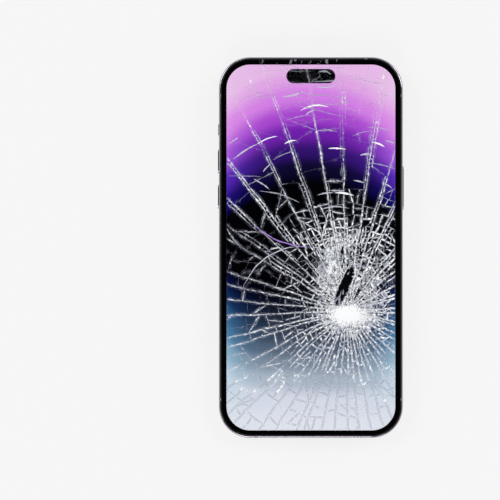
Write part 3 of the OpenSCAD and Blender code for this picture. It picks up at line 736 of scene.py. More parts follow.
@dataclass(frozen=True)
class Oval:
    """An oval in the plane of the screen, in millimetres.

    Attributes:
        centre: Its centre.
        reach: Its half length and half width.
        turn: Turn of its length in degrees.
    """

    centre: Vector
    reach: tuple[float, float]
    turn: float = 0.0

    def measure(self, point: Vector) -> float:
        """Gives 0 at the centre, 1 on the oval, and more outside it."""
        x, y = point.x - self.centre.x, point.y - self.centre.y
        c, s = math.cos(math.radians(self.turn)), math.sin(math.radians(self.turn))
        return math.hypot((x * c + y * s) / self.reach[0], (y * c - x * s) / self.reach[1])


class Heap:
    """Many small grains in one mesh, added a few at a time, which keeps the making quick."""

    batch_size = 40

    def __init__(self) -> None:
        """Starts with nothing in the heap."""
        self.whole = bmesh.new()
        self.batch = bmesh.new()
        self.waiting = 0

    def add(self, size: float, spot: Vector, turn: float, shape: Triple, slot: int = 0) -> None:
        """Adds a grain.

        Args:
            size: Its radius before it is stretched.
            spot: Its place.
            turn: Its turn about z in radians.
            shape: How it is stretched along each axis.
            slot: Its material slot.
        """
        place = Matrix.Translation(spot) @ Matrix.Rotation(turn, 4, "Z") @ Matrix.Diagonal((*shape, 1.0))
        made = bmesh.ops.create_icosphere(self.batch, subdivisions=1, radius=size, matrix=place)
        give_slot(made["verts"], slot)
        self.waiting += 1
        if self.waiting >= self.batch_size:
            self.empty_batch()

    def empty_batch(self) -> None:
        """Moves the waiting grains to the whole."""
        merge(self.batch, self.whole)
        self.batch.clear()
        self.waiting = 0

    def finished(self) -> BMesh:
        """Gives the whole heap."""
        self.empty_batch()
        self.batch.free()
        return self.whole


class Crack(Enum):
    """Material slots of the screen's pieces, by how much crushed glass a face carries; SHADE is a darker grey
    crack that is painted shade over the bright lower display.
    """

    CLEAR = ClearFinish("clear_glass", (250, 251, 255), 0.3)
    FAINT = CrackFinish("faint_crack", (180, 178, 194), 0.34)
    # Painted shade: a darker copy of the crack colour, used where the display behind is bright.
    SHADE = CrackFinish("shaded_crack", (148, 150, 168), 0.5)
    MIDDLE = CrackFinish("middle_crack", (186, 188, 202), 0.55)
    STRONG = CrackFinish("strong_crack", (206, 209, 221), 0.82)
    WHITE = CrackFinish("crushed_white", (250, 251, 254), 1.0, 0.03)
    POWDER = CrackFinish("glass_powder", (206, 210, 222), 0.5)
    HAZE = CrackFinish("crack_haze", (176, 182, 196), 0.3, 0.1, 0.9)
    MIST = CrackFinish("glass_mist", (158, 160, 178), 0.14, 0.1, 0.9)
    VIOLET = CrackFinish("violet_crack", (186, 140, 236), 0.85)

    @property
    def index(self) -> int:
        """Gives the slot's number."""
        return list(Crack).index(self)


class Arc(NamedTuple):
    """A pale arc: its two ends, how far its middle stands off the straight line, its width, its slot."""

    x: float
    y: float
    end_x: float
    end_y: float
    sag: float
    width: float
    shade: Crack


@dataclass
class Screen:
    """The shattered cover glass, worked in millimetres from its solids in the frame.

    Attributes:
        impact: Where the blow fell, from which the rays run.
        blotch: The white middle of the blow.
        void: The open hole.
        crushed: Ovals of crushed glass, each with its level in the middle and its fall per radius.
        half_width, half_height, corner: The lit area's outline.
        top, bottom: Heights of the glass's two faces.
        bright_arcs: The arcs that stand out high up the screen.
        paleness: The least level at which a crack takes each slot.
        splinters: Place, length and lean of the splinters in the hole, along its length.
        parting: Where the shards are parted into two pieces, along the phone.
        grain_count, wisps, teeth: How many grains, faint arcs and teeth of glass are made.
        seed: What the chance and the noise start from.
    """

    impact: Vector = Vector((15.2, -26.5, 0.0))
    blotch: Oval = Oval(Vector((16.0, -28.9, 0.0)), (7.3, 3.7))
    void: Oval = Oval(Vector((14.2, -16.1, 0.0)), (9.0, 2.1), 67.0)
    crushed: tuple[tuple[Oval, float, float], ...] = (
        (blotch, 1.5, 0.5),
        (Oval(Vector((8.4, -8.5, 0)), (5.0, 15.0), -8.0), 1.02, 0.5),
        (Oval(Vector((13.0, 1.5, 0)), (12.0, 7.0)), 0.74, 0.38),
        (Oval(Vector((24.5, -15.0, 0)), (8.5, 15.0)), 0.77, 0.4),
    )
    half_width: float = 35.6
    half_height: float = 77.15
    corner: float = 10.0
    top: float = 7.85
    bottom: float = 7.21
    bright_arcs: tuple[Arc, ...] = (
        Arc(-12.7, 63.6, -3.0, 65.7, -0.5, 0.75, Crack.STRONG),
        Arc(-4.6, 57.7, 7.6, 59.3, 1.4, 0.72, Crack.WHITE),
        Arc(-2.5, 55.5, 1.9, 58.0, 0.5, 0.5, Crack.STRONG),
        Arc(-32.9, 37.1, -22.4, 43.9, 0.5, 0.6, Crack.STRONG),
        Arc(-23.2, 43.4, -13.9, 47.0, 0.5, 0.55, Crack.WHITE),
        Arc(-11.4, 43.7, -5.9, 45.1, 0.4, 0.62, Crack.WHITE),
        Arc(7.2, 41.7, 14.8, 41.4, 0.3, 0.6, Crack.WHITE),
        Arc(20.7, 38.8, 25.3, 39.6, 0.2, 0.7, Crack.STRONG),
        Arc(26.2, 44.3, 31.2, 42.3, 0.4, 0.6, Crack.WHITE),
        Arc(31.2, 45.0, 35.4, 43.8, 0.2, 0.45, Crack.STRONG),
        Arc(2.5, 67.6, 10.5, 68.4, -0.3, 0.45, Crack.STRONG),
        Arc(17.7, 28.2, 22.8, 27.0, 0.3, 0.55, Crack.STRONG),
        Arc(29.9, 27.0, 34.2, 24.9, 0.4, 0.6, Crack.STRONG),
        Arc(-35.0, 43.2, -30.4, 46.4, 0.2, 0.45, Crack.STRONG),
        Arc(2.1, 49.3, 11.4, 48.9, 0.3, 0.4, Crack.MIDDLE),
        Arc(2.5, 22.2, 9.6, 23.2, 0.35, 0.6, Crack.STRONG),
        Arc(9.8, 23.1, 18.3, 21.9, 0.4, 0.7, Crack.WHITE),
        Arc(4.4, 16.2, 16.2, 16.6, 0.7, 0.45, Crack.STRONG),
        Arc(3.0, 74.0, 8.4, 72.9, 0.9, 0.7, Crack.MIDDLE),
        Arc(0.0, 69.8, 14.8, 70.4, 0.2, 0.4, Crack.MIDDLE),
        Arc(0.4, 67.9, 9.7, 68.4, 0.2, 0.35, Crack.FAINT),
        Arc(-16.0, 36.9, -6.3, 41.1, 0.4, 0.4, Crack.MIDDLE),
        Arc(23.2, 50.8, 34.2, 49.1, 0.5, 0.4, Crack.MIDDLE),
        Arc(-20.2, 31.8, -16.9, 35.2, 0.2, 0.5, Crack.STRONG),
        Arc(-24.0, 28.9, -17.3, 24.3, 0.3, 0.55, Crack.STRONG),
        Arc(-21.9, 23.8, -4.6, 18.8, 1.0, 0.5, Crack.MIDDLE),
        Arc(17.3, 47.0, 25.7, 49.1, 0.4, 0.35, Crack.MIDDLE),
        Arc(-10.5, 53.4, -0.4, 55.9, 0.5, 0.35, Crack.MIDDLE),
        Arc(-35.0, 30.2, -20.7, 29.9, 0.1, 0.3, Crack.MIDDLE),
        Arc(-29.5, -18.8, 0.4, 0.6, 6.4, 0.42, Crack.STRONG),
        Arc(-24.5, 9.9, 0.4, 0.2, -2.6, 0.42, Crack.VIOLET),
        Arc(-29.9, 61.8, -20.7, 65.6, 0.5, 0.45, Crack.FAINT),
        Arc(24.0, 35.6, 35.9, 33.1, 0.5, 0.45, Crack.MIDDLE),
    )
    paleness: tuple[tuple[float, Crack], ...] = (
        (0.92, Crack.WHITE), (0.58, Crack.STRONG), (0.3, Crack.MIDDLE))
    splinters: tuple[tuple[float, float, float, float], ...] = (
        (-4.6, 0.1, 4.4, 0.12), (-6.2, 0.7, 2.6, -0.25), (-2.6, -0.5, 2.2, 0.3),
        (-6.6, -0.6, 2.2, 0.1), (5.6, 0.5, 1.6, -0.2))
    parting: float = -12.0
    grain_count: int = 1800
    wisps: int = 56
    teeth: int = 44
    seed: int = 23

    def __post_init__(self) -> None:
        """Starts the one source of chance that the glass draws on, and seeds the noise of its shapes."""
        self.chance = random.Random(self.seed)
        noise.seed_set(self.seed)

    # ---- where a point lies

    def polar(self, point: Vector) -> tuple[float, float, Vector]:
        """Measures a point from the blow.

        Args:
            point: The point.

        Returns:
            Its distance, its angle in degrees from 0 to 360, and the direction outwards.
        """
        away = Vector((point.x - self.impact.x, point.y - self.impact.y, 0.0))
        angle = math.degrees(math.atan2(away.y, away.x)) % 360
        return away.length, angle, away.normalized() if away.length > 1e-6 else Vector((1, 0, 0))

    def inside(self, point: Vector) -> float:
        """Gives how far inside the lit area's outline a point lies."""
        dx = abs(point.x) - (self.half_width - self.corner)
        dy = abs(point.y) - (self.half_height - self.corner)
        return self.corner - math.hypot(max(dx, 0), max(dy, 0)) - min(max(dx, dy), 0)

    def crush(self, point: Vector) -> float:
        """Gives how crushed the glass is at a point, from 0 to 1."""
        levels = (peak - fall * oval.measure(point) for oval, peak, fall in self.crushed)
        return min(max(*levels, 0.0), 1.0)

    def cell(self, point: Vector) -> tuple[float, float]:
        """Gives the size of the pieces that the glass breaks into at a point.

        Args:
            point: The point.

        Returns:
            Their length outwards from the blow, and their width across that.
        """
        reach, angle, _ = self.polar(point)
        crush = self.crush(point)
        x, y = point.x, point.y
        zones = (
            (crush > 0.6, (1.15, 1.05)),
            (crush > 0.35, (1.8, 1.6)),
            (reach < 14, (2.3, 1.9)),
            (x > 17 and -38 < y < 8, (2.4, 2.0)),
            (x > -6 and -44 < y < 6, (2.8, 2.3)),
            (x > -6 and 0 < y < 24, (4.2, 3.5)),
            (reach < 30 and (angle > 120 or angle < 30), (3.8, max(1.6, 0.085 * reach))),
            (120 < angle < 235 and reach < 56, (7.5, 0.12 * reach)),
            (y < -60, (6.5, 5.0)),
            (y < -38, (4.6, 3.8)),
            (40 < angle < 150 and reach < 50, (6.5, 5.5)),
            (y > 58, (8.0, 7.0)),
            (True, (15.0, 10.0)),
        )
        return next(size for there, size in zones if there)

    # ---- breaking the glass up

    def outlines(self, mesh: Mesh) -> tuple[BMesh, BMesh]:
        """Parts the solids into the border and the upper faces of the shards.

        Args:
            mesh: The cover glass's mesh in metres.

        Returns:
            The border's solids, and one flat face for each shard.
        """
        border = bmesh.new()
        border.from_mesh(mesh)
        bmesh.ops.transform(border, matrix=Matrix.Scale(1 / MM, 4), verts=border.verts)
        bmesh.ops.remove_doubles(border, verts=border.verts, dist=1e-4)
        shards = border.copy()
        for part, keep_border in ((border, True), (shards, False)):
            unwanted = []
            for island in self.islands(part):
                outer = min(self.inside(v.co) for v in island) < -0.2
                if outer != keep_border:
                    unwanted.extend(island)
            bmesh.ops.delete(part, geom=unwanted, context="VERTS")
        sides = [f for f in shards.faces if f.normal.z < 0.99 or f.calc_center_median().z < self.top - 0.01]
        bmesh.ops.delete(shards, geom=sides, context="FACES")
        bmesh.ops.dissolve_limit(shards, angle_limit=0.004, verts=shards.verts, edges=shards.edges)
        return border, shards

    @staticmethod
    def islands(mesh: BMesh) -> list[list[BMVert]]:
        """Lists the vertices of each separate solid."""
        seen: set[BMVert] = set()
        found = []
        for start in mesh.verts:
            if start in seen:
                continue
            seen.add(start)
            island, open_ends = [start], [start]
            while open_ends:
                for edge in open_ends.pop().link_edges:
                    for vert in edge.verts:
                        if vert not in seen:
                            seen.add(vert)
                            island.append(vert)
                            open_ends.append(vert)
            found.append(island)
        return found

    @staticmethod
    def divide(edge: BMEdge, parts: int) -> list[BMVert]:
        """Adds evenly spaced corners along an edge.

        Args:
            edge: The edge.
            parts: How many equal lengths it ends in.

        Returns:
            The new corners in order.
        """
        corner, made = edge.verts[0], []
        for left in range(parts, 1, -1):
            _, corner = bmesh.utils.edge_split(edge, corner, 1.0 / left)
            made.append(corner)
        return made

    def bow_rings(self, glass: BMesh) -> None:
        """Bows the cracks that run across the rays outwards, as a blow leaves them."""
        for edge in list(glass.edges):
            length = edge.calc_length()
            middle = middle_of(edge)
            out = self.polar(middle)[2]
            along = way_of(edge)
            if length < 2.5 or abs(along.dot(out)) > 0.4 or self.inside(middle) < 0.4:
                continue
            sag = length * (0.05 + 0.09 * noise.noise(middle * 0.11))
            parts = max(2, round(length / 1.3))
            for step, vert in enumerate(self.divide(edge, parts), 1):
                share = step / parts
                vert.co += out * sag * 4 * share * (1 - share)

    def cut(self, glass: BMesh, face: BMFace, point: Vector, normal: Vector, weight: float) -> list[BMFace]:
        """Cracks one piece along a line.

        Args:
            glass: The pieces.
            face: The piece.
            point: A point on the crack.
            normal: The direction across the crack.
            weight: How strongly the crack shows.

        Returns:
            The pieces that it falls into.
        """
        geom = [face, *face.edges, *face.verts]
        done = bmesh.ops.bisect_plane(glass, geom=geom, dist=1e-5, plane_co=point, plane_no=normal)
        layer = glass.edges.layers.float["weight"]
        pieces = [face]
        for line in done["geom_cut"]:
            if isinstance(line, BMEdge) and face in line.link_faces:
                line[layer] = weight
                pieces.extend(line.link_faces)
        return list(dict.fromkeys(pieces))

    def ladders(self, glass: BMesh) -> None:
        """Doubles many of the long rays above the blow, with short rungs between the pair."""
        for face in list(glass.faces):
            reach, angle, out = self.polar(face.calc_center_median())
            if reach < 24 or not 35 < angle < 148 or self.chance.random() > 0.8:
                continue
            rays = [e for e in face.edges if e.calc_length() > 4 and abs(way_of(e).dot(out)) > 0.9]
            if not rays:
                continue
            ray = self.chance.choice(rays)
            start, end = (v.co.copy() for v in ray.verts)
            along = (end - start).normalized()
            across = across_from(along)
            if across.dot(face.calc_center_median() - start) < 0:
                across = -across
            offset = self.chance.uniform(0.8, 1.5)
            turned = spin(self.chance.uniform(-1.2, 1.2)) @ across
            pieces = self.cut(glass, face, (start + end) / 2 + across * offset, turned,
                              self.chance.uniform(0.55, 0.95))
            thin = min(pieces, key=lambda f: f.calc_area())
            place, length = self.chance.uniform(0.6, 2.0), (end - start).length
            while place < length - 0.5 and len(pieces) > 1:
                lean = spin(self.chance.uniform(-24, 24)) @ along
                parts = self.cut(glass, thin, start + along * place, lean, self.chance.uniform(0.3, 0.95))
                thin = max(parts, key=lambda f: f.calc_center_median().dot(along))
                place += self.chance.uniform(1.2, 3.6)

    def break_up(self, glass: BMesh) -> None:
        """Cracks each piece again until it is about as small as the glass there breaks."""
        waiting = list(glass.faces)
        while waiting:
            face = waiting.pop()
            centre = face.calc_center_median_weighted()
            out = self.polar(centre)[2]
            across = across_from(out)
            length, width = self.cell(centre)
            spans = []
            for axis in (out, across):
                marks = [v.co.dot(axis) for v in face.verts]
                spans.append((min(marks), max(marks)))
            ratios = [(high - low) / want for (low, high), want in zip(spans, (length, width))]
            if max(ratios) < self.chance.uniform(1.25, 1.75) or face.calc_area() < 0.5:
                continue
            pick = 0 if ratios[0] > ratios[1] else 1
            low, high = spans[pick]
            axis = (out, across)[pick]
            normal = spin(self.chance.gauss(0, 18 if self.crush(centre) > 0.5 else 11)) @ axis
            spot = low + (high - low) * self.chance.uniform(0.36, 0.64)
            point = centre + axis * (spot - centre.dot(axis))
            weight = 0.12 + 0.75 * self.chance.random() ** 2.2 + (0.1 if pick else 0.0)
            if (centre.x > -6 and 0 < centre.y < 24) or centre.y < -36:
                weight = min(weight + 0.3, 0.95)
            pieces = self.cut(glass, face, point, normal, weight)
            if len(pieces) > 1:
                waiting.extend(pieces)

    def set_weights(self, glass: BMesh) -> None:
        """Gives the first cracks their weights, from their direction and place."""
        layer = glass.edges.layers.float.new("weight")
        for edge in glass.edges:
            middle = middle_of(edge)
            if self.inside(middle) < 0.3:
                edge[layer] = 0.12
                continue
            reach, angle, out = self.polar(middle)
            along = way_of(edge)
            if abs(along.dot(out)) > 0.75:
                edge[layer] = 0.95 - 0.25 * abs(noise.noise(Vector((angle * 0.21, 3.1, reach * 0.01))))
            else:
                drawn = 0.42 + 1.1 * noise.noise(Vector((angle * 0.13, reach * 0.09, 1.7)))
                edge[layer] = min(max(drawn, 0.12), 1.0)

    def roughen(self, glass: BMesh) -> None:
        """Adds corners along the cracks and draws them off their straight lines."""
        for edge in list(glass.edges):
            middle = middle_of(edge)
            step = 0.75 if self.polar(middle)[0] < 30 else 1.0
            self.divide(edge, max(1, math.ceil(edge.calc_length() / step)))
        for vert in glass.verts:
            place = vert.co.copy()
            free = min(max(self.inside(place) / 4.0, 0.0), 1.0)
            vert.co += (shiver(place, 11.0, 0.7) + shiver(place, 1.1, 0.13, (9, 4, 2))) * free

    # ---- from flat pieces to shards

    def part_pieces(self, glass: BMesh, space: float = 0.014) -> None:
        """Parts the pieces along their cracks and draws each in by a hair.

        Args:
            glass: The pieces.
            space: How far each edge is drawn in.
        """
        bmesh.ops.split_edges(glass, edges=[e for e in glass.edges if len(e.link_faces) > 1])
        for face in glass.faces:
            ring = [loop.vert for loop in face.loops]
            moves = []
            for index, vert in enumerate(ring):
                before = (vert.co - ring[index - 1].co).normalized()
                after = (ring[(index + 1) % len(ring)].co - vert.co).normalized()
                inward = Vector((-before.y - after.y, before.x + after.x, 0))
                moves.append(inward.normalized() * space if inward.length > 0.2 else inward * 0)
            for vert, move in zip(ring, moves):
                vert.co += move

    def chip_edges(self, glass: BMesh) -> None:
        """Insets each piece, so that a strip along its edge is crushed, and gives it its slots."""
        groups: dict[float, list[BMFace]] = {}
        for face in glass.faces:
            crush = self.crush(face.calc_center_median())
            rim = 0.36 + 0.12 * crush
            slim = 0.85 * face.calc_area() / face.calc_perimeter()
            groups.setdefault(round(min(rim, slim), 2), []).append(face)
            shade, chance = Crack.CLEAR, self.chance.random()
            if crush > 0.93 or chance < (crush - 0.55) * 0.8:
                shade = Crack.WHITE
            elif chance < crush - 0.1 and face.calc_area() < 2.6:
                shade = Crack.POWDER
            elif chance < crush + 0.15 and crush > 0.3:
                shade = Crack.HAZE
            face.material_index = shade.index
        layer = glass.edges.layers.float["weight"]
        for width, faces in groups.items():
            rims = self.inset(glass, faces, max(width, 0.02))
            for rim in rims:
                outer = next((e for e in rim.edges if len(e.link_faces) == 1), None)
                if outer is None:
                    continue
                rim.material_index = self.shade(outer, outer[layer]).index
                for edge in rim.edges:
                    if not set(edge.verts) & set(outer.verts):
                        edge[layer] = outer[layer]
            whole = [f for f in faces if width > 0.3 and self.crush(f.calc_center_median()) < 0.5]
            self.cloud_edges(glass, whole, set(rims))

    @staticmethod
    def inset(glass: BMesh, faces: list[BMFace], width: float) -> list[BMFace]:
        """Insets faces one by one and gives the strips round them."""
        return bmesh.ops.inset_individual(glass, faces=faces, thickness=width, depth=0.0,
                                          use_even_offset=True, use_interpolate=True)["faces"]

    def cloud_edges(self, glass: BMesh, faces: list[BMFace], strips: set[BMFace]) -> None:
        """Insets the pieces' middles once more, for the haze that lies beside a strong crack.

        Args:
            glass: The pieces.
            faces: Their middles.
            strips: The crushed strips round these.
        """
        layer = glass.edges.layers.float["weight"]
        wide = [f for f in faces if f.calc_area() > 6.0]
        slim = [f for f in faces if 1.2 < f.calc_area() <= 6.0]
        for group, width in ((wide, 0.55), (slim, 0.22)):
            for rim in self.inset(glass, group, width) if group else []:
                outer = next((e for e in rim.edges if any(f in strips for f in e.link_faces)), None)
                if outer is None:
                    continue
                middle = middle_of(outer)
                level = outer[layer] * 0.9 + 0.7 * ripple(middle, 2.4) + 0.4 * self.crush(middle)
                if middle.y > 50:
                    level -= 0.25
                shade = Crack.HAZE if level > 0.8 else Crack.MIST if level > 0.38 else Crack.CLEAR
                rim.material_index = shade.index

    def shade(self, edge: BMEdge, weight: float) -> Crack:
        """Chooses how white a stretch of crack is.

        Args:
            edge: The stretch.
            weight: The crack's own weight.

        Returns:
            The slot.
        """
        middle = middle_of(edge)
        beads = ripple(middle, 1.3, (3, 8, 1)) * 0.6
        level = weight * 0.8 + beads + self.crush(middle) * 0.5 + 0.1
        if middle.x < -16 and -20 < middle.y < 10:
            level -= 0.3
        patch = 2.2 * ripple(middle, 9.0)
        # Over the bright lower display a crack takes SHADE, painted shade for the backlight that the crushed
        # glass scatters away; over the bright top it takes the fainter slots.
        if (-52 - middle.y) / 10 + patch > 0.3 and (level < 1.15 or middle.y < -54):
            return Crack.SHADE if level > 0.4 else Crack.FAINT
        if (middle.y - 46) / 14 + patch > 0.4 and level < 1.1:
            return Crack.MIDDLE if level > 0.85 else Crack.FAINT
        return next((crack for least, crack in self.paleness if level > least), Crack.FAINT)

    def shape_rims(self, glass: BMesh) -> None:
        """Sinks each piece's outer edge, varies the crushed strip and tilts the piece."""
        for island in self.islands(glass):
            edges = list(dict.fromkeys(e for v in island for e in v.link_edges))
            self.vary_strip(edges, glass.edges.layers.float["weight"])
            centre = sum((v.co for v in island), Vector()) / len(island)
            crush = self.crush(centre)
            sink = 0.03 + 0.25 * max(0.0, crush - 0.4)
            slope = [self.chance.gauss(0, 0.006 + 0.03 * crush) for _ in range(2)]
            tilts = [(v.co.x - centre.x) * slope[0] + (v.co.y - centre.y) * slope[1] for v in island]
            calm = min(1.0, (sink - 0.006) / max(*map(abs, tilts), 1e-6))
            for vert, tilt in zip(island, tilts):
                drop = sink + tilt * calm
                if any(len(e.link_faces) == 1 for e in vert.link_edges):
                    drop += 0.09 + 0.07 * ripple(vert.co, 0.8)
                vert.co.z = self.top - drop

    @staticmethod
    def room(start: Vector, way: Vector, sides: list[tuple[Vector, Vector]]) -> float:
        """Measures how far a corner can move into a piece before it is as near to another side.

        Args:
            start: The corner.
            way: The direction inwards.
            sides: A point and the inward direction of each side of the piece.

        Returns:
            The distance.
        """
        nearest = 5.0
        for point, inward in sides:
            turn = way.x * inward.x + way.y * inward.y
            away = (start.x - point.x) * inward.x + (start.y - point.y) * inward.y
            if turn < 0.85 and away > 0.03:
                nearest = min(nearest, away / (1 - turn))
        return nearest

    def vary_strip(self, edges: list[BMEdge], layer: BMLayerItem) -> None:
        """Moves the inner corners of a piece's strips in and out, so that they look chipped.

        Args:
            edges: The piece's edges.
            layer: The cracks' weights.
        """
        rim = [e for e in edges if len(e.link_faces) == 1]
        on_rim = {v for e in rim for v in e.verts}
        pairs = [(e, *(e.verts if e.verts[0] in on_rim else reversed(e.verts))) for e in edges
                 if (e.verts[0] in on_rim) != (e.verts[1] in on_rim)]
        inners = {inner for _, _, inner in pairs}
        places = {v: v.co.copy() for e in edges for v in e.verts}
        sides = []
        for loop in (e.link_loops[0] for e in rim):
            run = loop.link_loop_next.vert.co - loop.vert.co
            sides.append((loop.vert.co.copy(), across_from(run).normalized()))
        for _, outer, inner in pairs:
            flat = (places[inner] - places[outer]).to_2d().to_3d()
            if flat.length < 1e-5:
                continue
            way = flat.normalized()
            room = self.room(outer.co, way, sides)
            weight = max(e[layer] for e in outer.link_edges if len(e.link_faces) == 1)
            share = 0.1 + 0.8 * weight**1.4 + 0.3 * self.crush(outer.co)
            share *= 1 + 1.4 * ripple(outer.co, 0.8, (1, 7, 5))
            if outer.co.y < -54:
                share = share * 1.8 + 0.45
            elif outer.co.x < -14 and outer.co.y < 12:
                share *= 0.58
            elif outer.co.x < 2 or outer.co.y > 14:
                share *= 0.72
            width = min(flat.length, 0.55)
            step = min(width * min(max(share, 0.1), 1.1), (0.8 + 0.15 * self.crush(outer.co)) * room)
            inner.co = outer.co + way * step
            for edge in inner.link_edges:
                far = edge.other_vert(inner)
                if far not in on_rim and far not in inners:
                    wider = width + min((places[far] - places[inner]).length, 0.6)
                    far.co = outer.co + way * max(min(wider, 0.92 * room), step + 0.01)

    def thicken(self, glass: BMesh) -> None:
        """Draws the pieces down to the adhesive and closes them below."""
        rims = [e for e in glass.edges if len(e.link_faces) == 1]
        sides = bmesh.ops.extrude_edge_only(glass, edges=rims)["geom"]
        for item in sides:
            if isinstance(item, BMVert):
                item.co.z = self.bottom
            elif isinstance(item, BMFace):
                item.material_index = Crack.CLEAR.index
        ends = [e for e in sides if isinstance(e, BMEdge)
                and all(v.co.z < self.bottom + 1e-4 for v in e.verts)]
        floors = bmesh.ops.edgeloop_fill(glass, edges=ends)["faces"]
        for face in floors:
            face.material_index = Crack.CLEAR.index
        self.turn_outwards(glass)

    def turn_outwards(self, mesh: BMesh) -> None:
        """Makes the faces of each separate solid point away from its inside."""
        bmesh.ops.recalc_face_normals(mesh, faces=mesh.faces)
        for island in self.islands(mesh):
            base = island[0].co
            faces = list(dict.fromkeys(f for v in island for f in v.link_faces))
            volume = 0.0
            for face in faces:
                first, *others = (v.co - base for v in face.verts)
                volume += sum(first.dot(a.cross(b)) for a, b in zip(others, others[1:]))
            if volume < 0:
                bmesh.ops.reverse_faces(mesh, faces=faces)

    def split_by_height(self, glass: BMesh, level: float, upper: bool) -> BMesh:
        """Copies the shards that lie on one side of a line across the phone.

        Args:
            glass: All the shards.
            level: The line's place along the phone.
            upper: Whether the shards above it are kept.

        Returns:
            The kept shards.
        """
        part = glass.copy()
        unwanted = []
        for island in self.islands(part):
            middle = sum(v.co.y for v in island) / len(island)
            if (middle > level) != upper:
                unwanted.extend(island)
        bmesh.ops.delete(part, geom=unwanted, context="VERTS")
        return part

    # ---- pieces

    def make_piece(self, name: str, mesh: BMesh, materials: list[Material]) -> None:
        """Adds a piece of the screen, which stands for the cover glass's solids.

        Args:
            name: The piece's name.
            mesh: Its mesh in millimetres, which is freed.
            materials: Its slots.
        """
        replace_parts(add_piece(name, mesh, materials), "cover_glass")

    def build(self, node: Object) -> None:
        """Makes every piece of the shattered screen.

        Args:
            node: The cover glass's solids in the frame.
        """
        slots = [crack.value.build() for crack in Crack]
        border, glass = self.outlines(node.data)
        self.make_piece("screen_border", border, [BorderFinish().build()])
        self.bow_rings(glass)
        self.set_weights(glass)
        self.ladders(glass)
        self.break_up(glass)
        self.roughen(glass)
        flakes = self.flakes(glass)
        self.part_pieces(glass)
        self.chip_edges(glass)
        self.shape_rims(glass)
        self.thicken(glass)
        for name, upper in (("screen_shards_upper", True), ("screen_shards_lower", False)):
            self.make_piece(name, self.split_by_height(glass, self.parting, upper), slots)
        glass.free()
        white = slots[Crack.WHITE.index]
        self.make_piece("crushed_glass", self.grains(), [white])
        self.make_piece("crushed_middle", self.mound(), [white])
        self.make_piece("crack_arcs", self.arcs(), slots)
        self.make_piece("crack_flakes", flakes, [slots[Crack.STRONG.index], white])
        pale = [slots[Crack.MIDDLE.index], slots[Crack.STRONG.index]]
        self.make_piece("void_slivers", self.slivers(), pale)

    def flakes(self, glass: BMesh) -> BMesh:
        """Lays small flat flakes along the stronger cracks, which bead and feather them.

        Args:
            glass: The pieces before they are parted.

        Returns:
            The flakes in millimetres.
        """
        heap = Heap()
        layer = glass.edges.layers.float["weight"]
        for edge in glass.edges:
            start, end = (v.co for v in edge.verts)
            middle = (start + end) / 2
            dark = 1 - min(max(max(middle.y - 44, -44 - middle.y) / 14, 0), 1)
            odds = (edge[layer] - 0.5) * 0.8 * (0.05 + 0.95 * dark)
            if self.inside(middle) < 0.8 or self.chance.random() > odds:
                continue
            along = (end - start).normalized()
            size = self.chance.uniform(0.12, 0.3)
            spot = middle + across_from(along) * self.chance.gauss(0, 0.16)
            if self.void.measure(spot) < 1.1:
                continue
            lean = math.atan2(along.y, along.x) + self.chance.gauss(0, 0.5)
            shape = (self.chance.uniform(1.0, 2.2), self.chance.uniform(0.4, 0.9), 0.3)
            spot.z = self.top - 0.02 - size * 0.3
            heap.add(size, spot, lean, shape, int(self.chance.random() < 0.45))
        return heap.finished()

    def crescent(self, whole: BMesh, arc: Arc) -> None:
        """Lays a thin crack in the upper face, widest in its middle and pointed at its ends.

        Args:
            whole: The mesh that it is added to.
            arc: The crack.
        """
        strip = bmesh.new()
        first, last = Vector((arc.x, arc.y, 0)), Vector((arc.end_x, arc.end_y, 0))
        along = last - first
        across = across_from(along).normalized()
        count = max(6, round(along.length / 0.6))
        bmesh.ops.create_grid(strip, x_segments=count, y_segments=1, size=0.5)
        for vert in strip.verts:
            share = min(max(vert.co.x + 0.5, 0.0), 1.0)
            swell = max(math.sin(math.pi * share), 0.0) ** 0.7
            spot = first + along * share + across * (arc.sag * 4 * share * (1 - share))
            ragged = 1 + 0.9 * ripple(spot, 0.7, (0, 0, 4))
            spot += across * (vert.co.y * arc.width * max(swell, 0.04) * ragged)
            spot += shiver(spot, 5.0, 0.25)
            vert.co = Vector((spot.x, spot.y, self.top - 0.004))
        bmesh.ops.solidify(strip, geom=strip.faces[:], thickness=0.012)
        bmesh.ops.recalc_face_normals(strip, faces=strip.faces)
        for vert in strip.verts:
            vert.co.z = min(vert.co.z, self.top - 0.002)
        for face in strip.faces:
            face.material_index = arc.shade.index
        merge(strip, whole)
        strip.free()

    def arcs(self) -> BMesh:
        """Makes the pale arcs that ring the blow high up the screen, and faint wisps round them.

        Returns:
            The arcs in millimetres.
        """
        whole = bmesh.new()
        for arc in self.bright_arcs:
            self.crescent(whole, arc)
        made = 0
        while made < self.wisps:
            x, y = self.chance.uniform(-35, 24), self.chance.uniform(50, 76.5)
            length, slope = self.chance.uniform(5, 26), self.chance.gauss(-0.06, 0.14)
            ends = (x, y, x + length, y + length * slope)
            if min(self.inside(Vector((*end, 0))) for end in (ends[:2], ends[2:])) < 0.8:
                continue
            sag, width = self.chance.gauss(0.5, 0.8), self.chance.uniform(0.18, 0.5)
            pale = y > 60 and self.chance.random() < 0.5
            self.crescent(whole, Arc(*ends, sag, width, Crack.FAINT if pale else Crack.MIST))
            made += 1
        return whole

